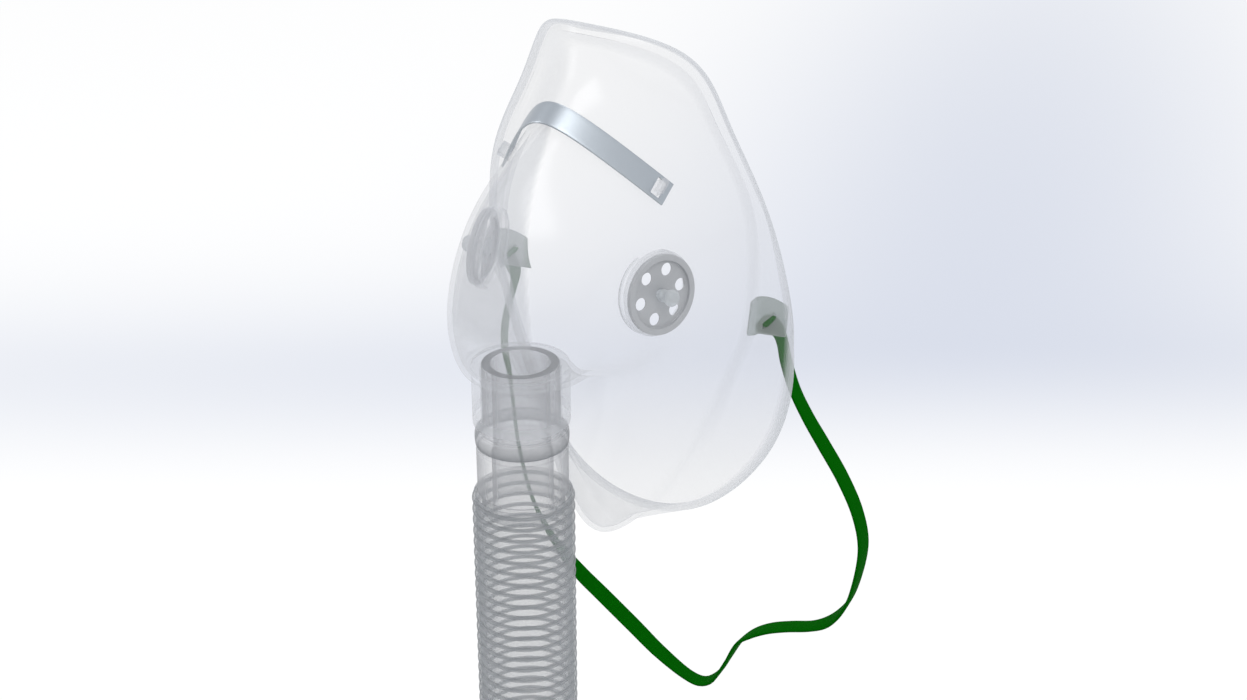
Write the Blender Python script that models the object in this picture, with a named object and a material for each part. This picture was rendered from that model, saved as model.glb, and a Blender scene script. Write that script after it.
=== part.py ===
"""Clear oxygen face mask with a swivel connector, a ribbed hose and a green head strap.

Metres, +Z up the face, -Y ahead of the face, +X towards the wearer's left.
The origin is the middle of the face seal, level with the top of the port.
The connector turns about the port's upright axis, which lies PORT_AHEAD ahead of the origin.
"""
from math import cos, pi, radians, sin

import bmesh
import bpy
import numpy as np
from mathutils import Matrix, Vector
from mathutils.bvhtree import BVHTree

MM = 0.001
GAP = 0.3 * MM  # between pieces that touch
UP = Vector((0, 0, 1))
BACK = Vector((0, 1, 0))

# The mask's moulding.
PORT_AHEAD = 45.0 * MM
WALL = 1.2 * MM
LIP_BULGE = 0.4 * MM  # the seal's edge is thicker than the wall by this on each side
COLUMNS_PER_STATION = 3
FLANGE_ROWS = 4
BODY_ROWS = 14

ROW_UNIT = 1.0 * MM  # of the moulding's rows and the strap's loop

# Rows of the moulding, from the seal's lip in to the port. Each holds the wearer's left half
# from the bridge of the nose down to the chin, in row units: sideways, behind the port's
# axis, above the top of the port. The other half is its mirror image.
SEAL_EDGE = (
    (0, 25.5, 73.7), (19.5, 36.6, 67.2), (29.2, 40.8, 51.8), (39.5, 42.5, 31), (44.2, 46.5, 8),
    (44, 48.5, -3), (43, 50.5, -14), (37, 52, -34), (21.5, 49.5, -53), (0, 50, -60.6),
)
FLANGE_FOLD = (
    (0, 24.9, 72.9), (18.9, 36.1, 66.3), (28.4, 40.2, 51.4), (38.4, 41.8, 31), (42.1, 42.6, 8),
    (40.5, 43.5, -2.5), (36.8, 44, -13), (31, 45, -32), (17.5, 44.5, -51.5), (0, 44.5, -61),
)
FLANGE_ROOT = (
    (0, 24.4, 72), (18.3, 35.6, 65.2), (27.6, 39.5, 51), (37, 40.8, 31), (38.6, 38.2, 8),
    (36.2, 39.2, -2.5), (31, 40, -14.5), (23.5, 40, -31), (13, 40, -49.5), (0, 40, -60.6),
)
CHEEK = (
    (0, 12.6, 55.5), (10, 19.6, 51), (19, 26, 42), (25.5, 27.5, 27), (27.5, 28, 12),
    (26.5, 28, 1), (23, 27, -10), (17, 28, -28), (9, 29, -46.5), (0, 29, -58.4),
)
SNOUT = (
    (0, -9.5, 35), (9, -5, 34), (17, 3, 29), (21, 9, 20), (22.5, 11, 9),
    (21.5, 13, 0), (16, 14, -6.5), (11, 16.5, -17), (6, 17.8, -28), (0, 18, -36),
)
SNOUT_FOOT = (
    (0, -15, 9), (9, -12.5, 9), (15.8, -6.7, 8), (19, 0, 6), (19, 5, 2),
    (16.8, 7.5, -1.5), (12.3, 11, -4.5), (8.4, 13, -7), (4.6, 14, -9), (0, 14.3, -10),
)
FLOOR = (
    (0, -13.6, -0.6), (7.6, -11.5, -0.6), (12.7, -6.8, -1.0), (15.3, -0.6, -1.5), (14.6, 4, -2.2),
    (13.2, 6.5, -2.8), (10, 9.3, -4), (6.8, 11.2, -5), (3.7, 12.3, -5.6), (0, 12.7, -5.8),
)
PORT_BEARINGS = (0, 33, 61, 86, 103, 117, 133, 149, 165, 180)  # degrees round from the front

# The port and its collar, whose top edge is the height zero.
COLLAR_RADIUS = 11.5 * MM
FLOOR_DROP = 2.2 * MM
COLLAR_LENGTH = 14.8 * MM
COLLAR_TAPER = 1.8 * MM
COLLAR_END_RADIUS = 10.4 * MM
COLLAR_CLEARANCE = 0.35 * MM  # round the connector, which turns in it

# The swivel connector.
TUBE_RADIUS = 9.2 * MM
TUBE_BORE = 6.8 * MM
BEAD_RADIUS = 11.0 * MM
BEAD_HEIGHT = 4.6 * MM
BEAD_STEPS = 6
GROOVE_RADIUS = 10.3 * MM
GROOVE_HEIGHT = 1.4 * MM
SOCKET_RADIUS = 10.9 * MM
SOCKET_HEIGHT = 10.4 * MM
SOCKET_BORE = 7.3 * MM
SPIGOT_RADIUS = 9.9 * MM
SPIGOT_LENGTH = 5.2 * MM
EDGE_CHAMFER = 0.5 * MM

# The ribbed hose and its end cuff.
HOSE_LENGTH = 150.0 * MM
HOSE_PITCH = 3.0 * MM
HOSE_CREST_RADIUS = 12.3 * MM
HOSE_ROOT_RADIUS = 11.3 * MM
HOSE_SIDES = 18
CUFF_RADIUS = 13.0 * MM
CUFF_BORE = 11.0 * MM
CUFF_LENGTH = 22.0 * MM
CUFF_DEPTH = 18.0 * MM
CUFF_SPIGOT_LENGTH = 6.0 * MM
CUFF_SPIGOT_BORE = 8.6 * MM
TURNED_SIDES = 30

# The vents: a holed disc plugged in each cheek, with a stud through its middle.
VENT_BACK = 20.1 * MM  # behind the port's axis
VENT_UP = 16.2 * MM
VENT_RADIUS = 9.5 * MM
VENT_PLATE = 0.7 * MM
VENT_RIM_HEIGHT = 0.5 * MM
VENT_RIM_WIDTH = 1.5 * MM
VENT_PLUG_RADIUS = 8.4 * MM
VENT_PLUG_WALL = 0.9 * MM
VENT_HOLES = 6
VENT_HOLE_RADIUS = 1.5 * MM
VENT_HOLE_CIRCLE = 5.9 * MM
VENT_HOLE_TURN = radians(9)
VENT_HOLE_SIDES = 14
SEAT_RADIUS = 10.1 * MM
SEAT_PROUD = 0.75 * MM
SEAT_DEPTH = 1.6 * MM
STUD_SHANK_RADIUS = 1.0 * MM
STUD_NECK_RADIUS = 1.5 * MM
STUD_HEAD_RADIUS = 2.1 * MM
STUD_HEAD_HEIGHT = 2.2 * MM
STUD_STAND = 2.4 * MM  # from the plate to the head
STUD_FOOT_RADIUS = 2.3 * MM
STUD_FOOT_HEIGHT = 0.8 * MM
STUD_SIDES = 16

# The nose clip: an arched strip on two pegs of the mask.
CLIP_CREST_BACK = 12.1 * MM
CLIP_CREST_UP = 56.9 * MM
CLIP_REACH = 22.8 * MM  # sideways from the middle to the strip's end
CLIP_CREST_BEND = 12.5 * MM
CLIP_LEG_SLOPE = 1.5
CLIP_TILT = radians(37)  # of the strip's width above the horizontal
CLIP_WIDTH = 6.0 * MM
CLIP_THICKNESS = 0.6 * MM
CLIP_STEPS = 26
PEG_PLACE = 21.2 * MM  # sideways from the middle
PEG_WIDTH = 3.6 * MM
PEG_THICKNESS = 1.8 * MM
PEG_STAND = 2.6 * MM
PEG_CLEARANCE = 0.4 * MM

# The strap lugs, bonded inside the flange.
LUG_TOP_STATION = 3.9
LUG_BOTTOM_STATION = 4.66
LUG_FOOT_SHARE = 0.2  # of the flange's width that the foot covers
LUG_THICKNESS = 1.2 * MM
LUG_TAB = 13.6 * MM
LUG_TAB_DROP = radians(24)
LUG_TAB_LEAN = radians(3)
LUG_ARCH = 1.6 * MM
LUG_ROWS = 5
LUG_FOOT_COLUMNS = 3
LUG_TAB_COLUMNS = 6
SLOT_PLACE = 0.36  # along the tab
SLOT_TILT = radians(10)

# The head strap: a flat band that passes through both slots and hangs in a loop.
STRAP_WIDTH = 4.5 * MM
STRAP_THICKNESS = 1.0 * MM
SLOT_CLEARANCE = 0.4 * MM
STRAP_STEP = 5.0 * MM
STRAP_INSIDE_CLEARANCE = 0.7 * MM  # to the left lug, whose foot bends inwards
STRAP_OUTSIDE_CLEARANCE = 0.4 * MM  # to the right lug, under the flange
STRAP_TAIL = 0.5 * MM  # beyond the slot, on the lug's other face

PVC_CLEAR = ("soft_pvc_clear", (0.86, 0.88, 0.90), 0.15, 0.0)
PP_GREY = ("rigid_plastic_grey", (0.55, 0.57, 0.58), 0.3, 0.0)
PVC_LUG = ("soft_pvc_smoky", (0.52, 0.56, 0.54), 0.35, 0.0)
HOSE_PLASTIC = ("hose_pvc_grey", (0.62, 0.64, 0.66), 0.25, 0.0)
CUFF_PLASTIC = ("cuff_eva_grey", (0.60, 0.62, 0.64), 0.4, 0.0)
ALUMINIUM = ("soft_aluminium", (0.60, 0.65, 0.69), 0.35, 1.0)
GREEN_ELASTIC = ("green_elastic", (0.0, 0.11, 0.0), 0.8, 0.0)

SMOOTH_BELOW = radians(35)


def clear_scene():
    """Remove every object, mesh and material left in the file."""
    for item in list(bpy.data.objects):
        bpy.data.objects.remove(item, do_unlink=True)
    for mesh in list(bpy.data.meshes):
        bpy.data.meshes.remove(mesh)
    for material in list(bpy.data.materials):
        bpy.data.materials.remove(material)


def material(spec):
    """The Principled material of that name, made once."""
    name, colour, roughness, metallic = spec
    found = bpy.data.materials.get(name)
    if found:
        return found
    made = bpy.data.materials.new(name)
    made.use_nodes = True
    shader = made.node_tree.nodes["Principled BSDF"]
    shader.inputs["Base Color"].default_value = (*colour, 1.0)
    shader.inputs["Roughness"].default_value = roughness
    shader.inputs["Metallic"].default_value = metallic
    made.diffuse_color = (*colour, 1.0)
    return made


def add_object(name, verts, faces, spec=None, parent=None):
    """A mesh object from points and faces, smooth apart from its sharp edges."""
    mesh = bpy.data.meshes.new(name)
    mesh.from_pydata([tuple(v) for v in verts], [], faces)
    mesh.validate()
    if spec:
        mesh.materials.append(material(spec))
    mesh.shade_smooth()
    mesh.set_sharp_from_angle(angle=SMOOTH_BELOW)
    made = bpy.data.objects.new(name, mesh)
    bpy.context.scene.collection.objects.link(made)
    if parent:
        made.parent = parent
    return made


def add_empty(name, place):
    """An empty that carries the pieces turning about one axis."""
    made = bpy.data.objects.new(name, None)
    made.location = place
    bpy.context.scene.collection.objects.link(made)
    return made


def hide_tool(tool):
    """Mark an object as a tool of a Boolean, not a piece."""
    tool.hide_render = True
    tool.display_type = "WIRE"


def add_boolean(target, tool, operation):
    """Join the tool to the target or cut it away."""
    step = target.modifiers.new(operation.title(), "BOOLEAN")
    step.operation = operation
    step.solver = "EXACT"
    step.object = tool


def ring_faces(rows, columns, closed_rows=False):
    """Quads between neighbouring rows of points, each row a closed ring."""
    faces = []
    last = rows if closed_rows else rows - 1
    for i in range(last):
        below = (i + 1) % rows
        for j in range(columns):
            k = (j + 1) % columns
            faces.append((i * columns + j, i * columns + k, below * columns + k, below * columns + j))
    return faces


def turned(name, profile, sides, spec, parent=None, bored=True):
    """A solid turned about +Z from (radius, height) points that run down its outer side.

    A bored one goes on up its inner side and closes there. A plain one is capped at both ends.
    """
    verts = []
    for radius, height in profile:
        for k in range(sides):
            turn = 2 * pi * k / sides
            verts.append((radius * cos(turn), radius * sin(turn), height))
    faces = [face[::-1] for face in ring_faces(len(profile), sides, closed_rows=bored)]
    if not bored:
        faces.append(tuple(range(sides)))
        faces.append(tuple(range(sides * len(profile)))[-1 : -sides - 1 : -1])
    return add_object(name, verts, faces, spec, parent)


def rod(name, radius, top, bottom, sides, frame):
    """A plain cylinder between two heights of the frame, for a Boolean."""
    made = turned(name, [(radius, top), (radius, bottom)], sides, None, bored=False)
    made.matrix_world = frame
    return made


def block(name, size, frame):
    """A box of that size about the frame's origin, for a Boolean."""
    mesh = bpy.data.meshes.new(name)
    shape = bmesh.new()
    bmesh.ops.create_cube(shape, size=1.0, matrix=frame @ Matrix.Diagonal((*size, 1.0)))
    shape.to_mesh(mesh)
    shape.free()
    made = bpy.data.objects.new(name, mesh)
    bpy.context.scene.collection.objects.link(made)
    return made


def frame_matrix(origin, x_axis, y_axis, z_axis):
    """A placing matrix from three unit axes and an origin."""
    turn = Matrix((x_axis, y_axis, z_axis)).transposed().to_4x4()
    return Matrix.Translation(origin) @ turn


def mirrored(point):
    """The same place on the wearer's other side."""
    return Vector((-point[0], point[1], point[2]))


def whole_loop(half):
    """A row's points all the way round, in metres in the mask's frame."""
    right = np.array(half, float) * ROW_UNIT
    right[:, 1] -= PORT_AHEAD
    left = right[1:-1][::-1] * (-1, 1, 1)
    return np.vstack([right, left])


def cubic_weights(share):
    """The four weights of a uniform cubic B-spline at a share of its span."""
    return (
        (1 - share) ** 3 / 6,
        (3 * share**3 - 6 * share**2 + 4) / 6,
        (-3 * share**3 + 3 * share**2 + 3 * share + 1) / 6,
        share**3 / 6,
    )


def through_loop(points, stations):
    """A smooth closed curve through the points, read at stations counted in points."""
    count = len(points)
    weights = np.zeros((count, count))
    for i in range(count):
        weights[i, i - 1] = 1 / 6
        weights[i, i] = 4 / 6
        weights[i, (i + 1) % count] = 1 / 6
    controls = np.linalg.solve(weights, points)
    whole = np.floor(stations).astype(int)
    share = (stations - whole)[:, None]
    return sum(w * controls[(whole + k - 1) % count] for k, w in enumerate(cubic_weights(share)))


def clamped_basis(knots, places):
    """Values of each clamped cubic B-spline at the places, one row a place."""
    inside = np.clip(np.asarray(places, float), 0, 1 - 1e-12)
    values = [((inside >= a) & (inside < b)).astype(float) for a, b in zip(knots, knots[1:])]
    for degree in (1, 2, 3):
        raised = []
        for i in range(len(values) - 1):
            rise = knots[i + degree] - knots[i]
            fall = knots[i + degree + 1] - knots[i + 1]
            value = np.zeros_like(inside)
            if rise > 0:
                value = value + (inside - knots[i]) / rise * values[i]
            if fall > 0:
                value = value + (knots[i + degree + 1] - inside) / fall * values[i + 1]
            raised.append(value)
        values = raised
    return np.array(values).T


def through_rows(rows, places):
    """A smooth sheet through the rows, read at places from 0 at the first to 1 at the last."""
    rows = np.array(rows)
    steps = np.sqrt(np.linalg.norm(np.diff(rows, axis=0), axis=2).mean(axis=1))
    along = np.concatenate([[0], np.cumsum(steps)])
    along /= along[-1]
    inner = [along[i : i + 3].mean() for i in range(1, len(rows) - 3)]
    knots = np.concatenate([np.zeros(4), inner, np.ones(4)])
    flat = rows.reshape(len(rows), -1)
    controls = np.linalg.solve(clamped_basis(knots, along), flat)
    return (clamped_basis(knots, places) @ controls).reshape(len(places), -1, 3)


def port_ring(radius, height, stations):
    """A level ring about the port's axis, with the moulding's columns."""
    half = np.array(PORT_BEARINGS, float)
    bearings = np.concatenate([half, 360 - half[1:-1][::-1]])
    steps = np.concatenate([bearings, [360]])
    turns = np.radians(np.interp(stations, np.arange(len(steps)), steps))
    return np.stack(
        [radius * np.sin(turns), -PORT_AHEAD - radius * np.cos(turns), np.full(len(turns), height)], axis=1
    )


def flange_rows(stations, shares):
    """The sealing flange from its edge, share 0, to its root, share 1."""
    edge, fold, root = (through_loop(whole_loop(r), stations) for r in (SEAL_EDGE, FLANGE_FOLD, FLANGE_ROOT))
    rows = []
    for share in shares:
        outer_part = edge * (1 - share) * (1 - 2 * share)
        inner_part = root * share * (2 * share - 1)
        rows.append(outer_part + fold * 4 * share * (1 - share) + inner_part)
    return rows


def body_rows(stations, places):
    """The mask's body from the flange's root, place 0, to the collar, place 1."""
    rows = [through_loop(whole_loop(r), stations) for r in (FLANGE_ROOT, CHEEK, SNOUT, SNOUT_FOOT, FLOOR)]
    rows.append(port_ring(COLLAR_RADIUS, -FLOOR_DROP, stations))
    return list(through_rows(rows, places))


def outward(grid):
    """Unit normals of a grid of closed rows, pointing away from the face."""
    along = np.gradient(grid, axis=0)
    across = np.roll(grid, -1, axis=1) - np.roll(grid, 1, axis=1)
    normal = np.cross(along, across)
    return normal / np.linalg.norm(normal, axis=2, keepdims=True)


def mask_stations(per_station):
    """Evenly spaced stations round the moulding."""
    points = 2 * len(SEAL_EDGE) - 2
    return np.arange(points * per_station) / per_station


def mask_grids(per_station, flange_count, body_count):
    """Outer and inner skin of the moulding, rows from the seal's edge to the collar."""
    stations = mask_stations(per_station)
    flange = flange_rows(stations, np.linspace(0, 1, flange_count)[:-1])
    outer = np.array(flange + body_rows(stations, np.linspace(0, 1, body_count)))
    normal = outward(outer)
    normal[-1] = (0, 0, 1)
    bulge = np.zeros(len(outer))
    bulge[0] = LIP_BULGE
    bulge[1] = LIP_BULGE / 2
    bulge = bulge[:, None, None]
    normal_out = normal.copy()
    normal_out[-1] = 0
    inner = outer - normal * (WALL + bulge)
    inner[-1] = outer[-1] + np.array((0, 0, WALL))
    return outer + normal_out * bulge, inner


def mask_skin():
    """A fine search tree of the outer skin, from which pieces find their seats."""
    outer, _ = mask_grids(12, 9, 60)
    rows, columns = outer.shape[:2]
    faces = [face[::-1] for face in ring_faces(rows, columns)]
    return BVHTree.FromPolygons([Vector(p) for p in outer.reshape(-1, 3)], faces)


def make_mask_wall():
    """The moulding: two skins joined by a round lip at the seal and by the collar at the port."""
    outer, inner = mask_grids(COLUMNS_PER_STATION, FLANGE_ROWS, BODY_ROWS)
    stations = mask_stations(COLUMNS_PER_STATION)
    lip = (outer[0] + inner[0]) / 2
    reach = outer[0] - outer[1]
    reach /= np.linalg.norm(reach, axis=1, keepdims=True)
    lip = lip + reach * (WALL / 2 + LIP_BULGE)
    bore = TUBE_RADIUS + COLLAR_CLEARANCE
    end = -(COLLAR_LENGTH + COLLAR_TAPER)
    collar = [
        port_ring(COLLAR_RADIUS, -COLLAR_LENGTH, stations),
        port_ring(COLLAR_END_RADIUS, end, stations),
        port_ring(bore, end, stations),
        port_ring(bore, 0, stations),
        port_ring(COLLAR_RADIUS, 0, stations),
    ]
    rows = [lip, *outer, *collar, *inner[::-1]]
    grid = np.array(rows)
    faces = [face[::-1] for face in ring_faces(len(rows), len(stations), closed_rows=True)]
    return add_object("mask_shell", grid.reshape(-1, 3), faces, PVC_CLEAR)


def seat_frame(skin, side):
    """The vent's seat: origin on the skin and +Z straight out of the cheek."""
    start = Vector((1, VENT_BACK - PORT_AHEAD, VENT_UP))
    spot, normal, _, _ = skin.ray_cast(start, Vector((-1, 0, 0)))
    across = UP.cross(normal).normalized()
    upward = normal.cross(across)
    if side < 0:
        spot, normal, upward = mirrored(spot), mirrored(normal), mirrored(upward)
        across = upward.cross(normal)
    return frame_matrix(spot, across, upward, normal)


def clip_axes():
    """The strip's width direction and the direction its arch falls in."""
    width = Vector((0, cos(CLIP_TILT), sin(CLIP_TILT)))
    fall = Vector((0, sin(CLIP_TILT), -cos(CLIP_TILT)))
    return width, fall


def clip_crest():
    return Vector((0, CLIP_CREST_BACK - PORT_AHEAD, CLIP_CREST_UP))


def clip_point(across):
    """The strip's middle line at a distance sideways: a hyperbola, round at the crest."""
    _, fall = clip_axes()
    drop = (CLIP_CREST_BEND**2 + (CLIP_LEG_SLOPE * across) ** 2) ** 0.5 - CLIP_CREST_BEND
    return clip_crest() + Vector((across, 0, 0)) + fall * drop


def peg_frame(side):
    """The middle of the strip at a peg: +X along the strip, +Y across its width, +Z out."""
    width, _ = clip_axes()
    middle = clip_point(side * PEG_PLACE)
    along = (clip_point(side * PEG_PLACE + MM) - clip_point(side * PEG_PLACE - MM)).normalized()
    out = along.cross(width)
    return frame_matrix(middle, along, width, out)


def clip_path():
    """The strip's middle line from one end to the other."""
    return [clip_point(across) for across in np.linspace(-CLIP_REACH, CLIP_REACH, CLIP_STEPS + 1)]


def band(name, path, widths, width, thickness, spec):
    """A flat band swept along a path, each station with its own width direction."""
    verts = []
    count = len(path)
    for i, point in enumerate(path):
        ahead = (path[min(i + 1, count - 1)] - path[max(i - 1, 0)]).normalized()
        across = (widths[i] - ahead * widths[i].dot(ahead)).normalized()
        out = ahead.cross(across)
        for a, b in ((-1, -1), (1, -1), (1, 1), (-1, 1)):
            verts.append(point + across * (a * width / 2) + out * (b * thickness / 2))
    faces = ring_faces(count, 4)
    faces.append((3, 2, 1, 0))
    faces.append(tuple((count - 1) * 4 + k for k in (0, 1, 2, 3)))
    return add_object(name, verts, faces, spec)


def make_nose_clip():
    """The soft aluminium strip, with a slot near each end for the mask's peg."""
    path = clip_path()
    width, _ = clip_axes()
    clip = band("nose_clip", path, [width] * len(path), CLIP_WIDTH, CLIP_THICKNESS, ALUMINIUM)
    slot = (PEG_THICKNESS + 2 * PEG_CLEARANCE, PEG_WIDTH + 2 * PEG_CLEARANCE, 4 * CLIP_THICKNESS)
    for side in (1, -1):
        tool = block("clip_slot_tool", slot, peg_frame(side))
        hide_tool(tool)
        add_boolean(clip, tool, "DIFFERENCE")
    return clip


def add_pegs(shell, skin):
    """Clear pegs that stand from the cheek through the clip's slots."""
    for side in (1, -1):
        frame = peg_frame(side)
        out = frame.to_3x3() @ UP
        middle = frame.translation
        spot, _, _, reach = skin.ray_cast(middle, -out)
        foot = reach + WALL / 2
        height = foot + PEG_STAND
        lifted = Matrix.Translation(out * ((PEG_STAND - foot) / 2)) @ frame
        tool = block("peg_tool", (PEG_THICKNESS, PEG_WIDTH, height), lifted)
        hide_tool(tool)
        add_boolean(shell, tool, "UNION")


def make_mask(skin):
    """The mask's moulding with its vent seats, vent openings and pegs."""
    shell = make_mask_wall()
    tools = []
    for side in (1, -1):
        frame = seat_frame(skin, side)
        seat = rod("seat_tool", SEAT_RADIUS, SEAT_PROUD, -SEAT_DEPTH, TURNED_SIDES, frame)
        reach = 4 * SEAT_DEPTH
        hole_radius = (VENT_PLUG_RADIUS + GAP) / cos(pi / TURNED_SIDES)
        hole = rod("vent_hole_tool", hole_radius, reach, -reach, TURNED_SIDES, frame)
        tools.append((seat, "UNION"))
        tools.append((hole, "DIFFERENCE"))
    for tool, operation in tools:
        hide_tool(tool)
        add_boolean(shell, tool, operation)
    add_pegs(shell, skin)
    return shell


def make_vent_disc(name, frame, side):
    """A thin plate with a raised rim and six holes, and a ring in the cheek's opening behind it."""
    base = SEAT_PROUD + GAP
    top = base + VENT_PLATE
    plug_end = -SEAT_DEPTH
    plug_inner = VENT_PLUG_RADIUS - VENT_PLUG_WALL
    rim_inner = VENT_RADIUS - VENT_RIM_WIDTH
    shank_hole = STUD_SHANK_RADIUS + GAP
    disc = turned(
        name,
        [
            (shank_hole, base),
            (shank_hole, top),
            (rim_inner, top),
            (rim_inner, top + VENT_RIM_HEIGHT),
            (VENT_RADIUS, top + VENT_RIM_HEIGHT),
            (VENT_RADIUS, base),
            (VENT_PLUG_RADIUS, base),
            (VENT_PLUG_RADIUS, plug_end),
            (plug_inner, plug_end),
            (plug_inner, base),
        ],
        TURNED_SIDES,
        PP_GREY,
    )
    disc.matrix_world = frame
    height = top - plug_end
    for k in range(VENT_HOLES):
        turn = side * VENT_HOLE_TURN + 2 * pi * k / VENT_HOLES
        place = Matrix.Translation((VENT_HOLE_CIRCLE * cos(turn), VENT_HOLE_CIRCLE * sin(turn), 0))
        hole = rod("disc_hole_tool", VENT_HOLE_RADIUS, 3 * height, -height, VENT_HOLE_SIDES, frame @ place)
        hide_tool(hole)
        add_boolean(disc, hole, "DIFFERENCE")
    return disc


def make_vent_stud(name, frame):
    """A clear mushroom stud pushed through the disc, with a foot behind and a head ahead."""
    behind = SEAT_PROUD
    ahead = SEAT_PROUD + GAP + VENT_PLATE + GAP
    head = ahead + STUD_STAND
    profile = [
        (STUD_HEAD_RADIUS * 0.3, head + STUD_HEAD_HEIGHT),
        (STUD_HEAD_RADIUS * 0.75, head + STUD_HEAD_HEIGHT * 0.84),
        (STUD_HEAD_RADIUS, head + STUD_HEAD_HEIGHT * 0.45),
        (STUD_HEAD_RADIUS * 0.8, head + STUD_HEAD_HEIGHT * 0.1),
        (STUD_NECK_RADIUS, head),
        (STUD_NECK_RADIUS, ahead),
        (STUD_SHANK_RADIUS, ahead),
        (STUD_SHANK_RADIUS, behind),
        (STUD_FOOT_RADIUS, behind),
        (STUD_FOOT_RADIUS, behind - STUD_FOOT_HEIGHT),
    ]
    stud = turned(name, profile, STUD_SIDES, PVC_CLEAR, bored=False)
    stud.matrix_world = frame
    return stud


def lug_grid():
    """Outer and inner points of the wearer's left lug, rows from its top edge to its bottom edge."""
    stations = np.linspace(LUG_TOP_STATION, LUG_BOTTOM_STATION, LUG_ROWS)
    shares = 1 - np.linspace(0.06, LUG_FOOT_SHARE, LUG_FOOT_COLUMNS)
    step = 0.02
    middle = np.array(flange_rows(stations, shares))
    along = np.array(flange_rows(stations, shares + step)) - np.array(flange_rows(stations, shares - step))
    down = np.array(flange_rows(stations + step, shares)) - np.array(flange_rows(stations - step, shares))
    normal = np.cross(along, down)
    normal /= np.linalg.norm(normal, axis=2, keepdims=True)
    clear = WALL + LIP_BULGE / 2 + GAP
    near = middle - normal * clear
    far = middle - normal * (clear + LUG_THICKNESS)
    tab = np.array((sin(LUG_TAB_LEAN), cos(LUG_TAB_DROP), -sin(LUG_TAB_DROP)))
    side = np.array((1.0, 0, 0))
    near_rows, far_rows = list(near), list(far)
    bend_far = far[-1]
    for k in range(1, LUG_TAB_COLUMNS + 1):
        start = bend_far + side * LUG_THICKNESS
        near_rows.append(start + tab * (LUG_TAB * k / LUG_TAB_COLUMNS))
        far_rows.append(bend_far + tab * (LUG_TAB * k / LUG_TAB_COLUMNS))
    near_rows, far_rows = np.array(near_rows), np.array(far_rows)
    columns = len(near_rows)
    arch = LUG_ARCH * np.sin(np.linspace(0, pi, columns))
    share_up = np.linspace(1, 0, LUG_ROWS)
    lift = arch[:, None] * share_up[None, :]
    near_rows[:, :, 2] += lift
    far_rows[:, :, 2] += lift
    return near_rows, far_rows


def slot_frame():
    """The strap's slot in the wearer's left lug: +Y along the slot and +X through the tab."""
    near, far = lug_grid()
    first = LUG_FOOT_COLUMNS - 1
    place = first + SLOT_PLACE * LUG_TAB_COLUMNS
    low = int(place)
    share = place - low
    middle_row = LUG_ROWS // 2
    outer = near[low, middle_row] * (1 - share) + near[low + 1, middle_row] * share
    inner = far[low, middle_row] * (1 - share) + far[low + 1, middle_row] * share
    middle = Vector((outer + inner) / 2)
    along = Vector((0, cos(SLOT_TILT), sin(SLOT_TILT)))
    through = Vector((1, 0, 0))
    return frame_matrix(middle, through, along, through.cross(along))


def mirrored_frame(frame):
    """A placing on the other side, kept right-handed by turning its +Z over."""
    x_axis = mirrored(frame.col[0].to_3d())
    y_axis = mirrored(frame.col[1].to_3d())
    return frame_matrix(mirrored(frame.translation), x_axis, y_axis, x_axis.cross(y_axis))


def make_lug(name, side):
    """One lug: a foot that follows the flange, a tab behind it and a slanted slot."""
    near, far = lug_grid()
    near, far = (grid * (side, 1, 1) for grid in (near, far))
    columns = len(near)
    rows = []
    for i in range(columns):
        rows.append(np.vstack([near[i], far[i][::-1]]))
    grid = np.array(rows)
    around = grid.shape[1]
    faces = ring_faces(columns, around)
    start = tuple(range(around))[::-1]
    end = tuple((columns - 1) * around + k for k in range(around))
    faces += [start, end]
    if side < 0:
        faces = [face[::-1] for face in faces]
    lug = add_object(name, grid.reshape(-1, 3), faces, PVC_LUG)
    frame = slot_frame()
    if side < 0:
        frame = mirrored_frame(frame)
    opening = (6 * LUG_THICKNESS, STRAP_WIDTH + 2 * SLOT_CLEARANCE, STRAP_THICKNESS + 2 * SLOT_CLEARANCE)
    tool = block("lug_slot_tool", opening, frame)
    hide_tool(tool)
    add_boolean(lug, tool, "DIFFERENCE")
    return lug


# The strap's hanging loop between the two lugs, in row units: sideways, behind the port's
# axis, above the top of the port, and the turn of its flat face in degrees, where 90 has the
# band's width along the wearer's back and forth.
STRAP_LOOP = (
    (36.3, 48.6, 0.9, 90),
    (36.3, 52.2, -0.6, 90),
    (36.6, 55.0, -3.0, 92),
    (37.3, 56.2, -6.4, 91),
    (38.4, 56.2, -10.8, 89),
    (41.2, 56.5, -18.6, 91),
    (45.0, 56.7, -25, 89),
    (49.3, 57.2, -31.3, 85),
    (55.1, 57.4, -39.3, 85),
    (59.3, 58.2, -48.2, 86),
    (61.0, 59, -57.4, 87),
    (58.9, 59.8, -70.7, 94),
    (56.9, 60, -76.5, 100),
    (54.4, 60, -80.7, 108),
    (51.4, 60, -84, 110),
    (46.9, 60, -86.8, 100),
    (40.3, 60, -89.4, 100),
    (34.5, 60, -92.1, 102),
    (29.6, 60, -95.4, 100),
    (25.7, 60, -99.3, 90),
    (21.9, 60, -106.8, 97),
    (19.6, 60, -111.3, 97),
    (17.2, 60, -114.7, 103),
    (13.8, 60, -116.8, 93),
    (9.6, 60, -116.6, 87),
    (0.4, 59.4, -112, 99),
    (-8, 59, -106.4, 107),
    (-18.7, 58.7, -99.6, 108),
    (-26.2, 58.5, -94.8, 102),
    (-33.9, 58, -87.6, 67),
    (-38.7, 57.6, -80.9, 52),
    (-41.9, 57.4, -74.4, 48),
    (-45.6, 57, -59.1, 50),
    (-47.4, 56.3, -38.6, 51),
    (-48.2, 55.5, -30, 55),
    (-47.6, 55, -23.2, 63),
    (-46.4, 55, -17.9, 67),
    (-44.8, 54.9, -12.6, 70),
    (-43.1, 54, -9, 74),
    (-41.1, 51.8, -5.1, 80),
    (-40.2, 48.9, -1, 86),
)


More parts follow.
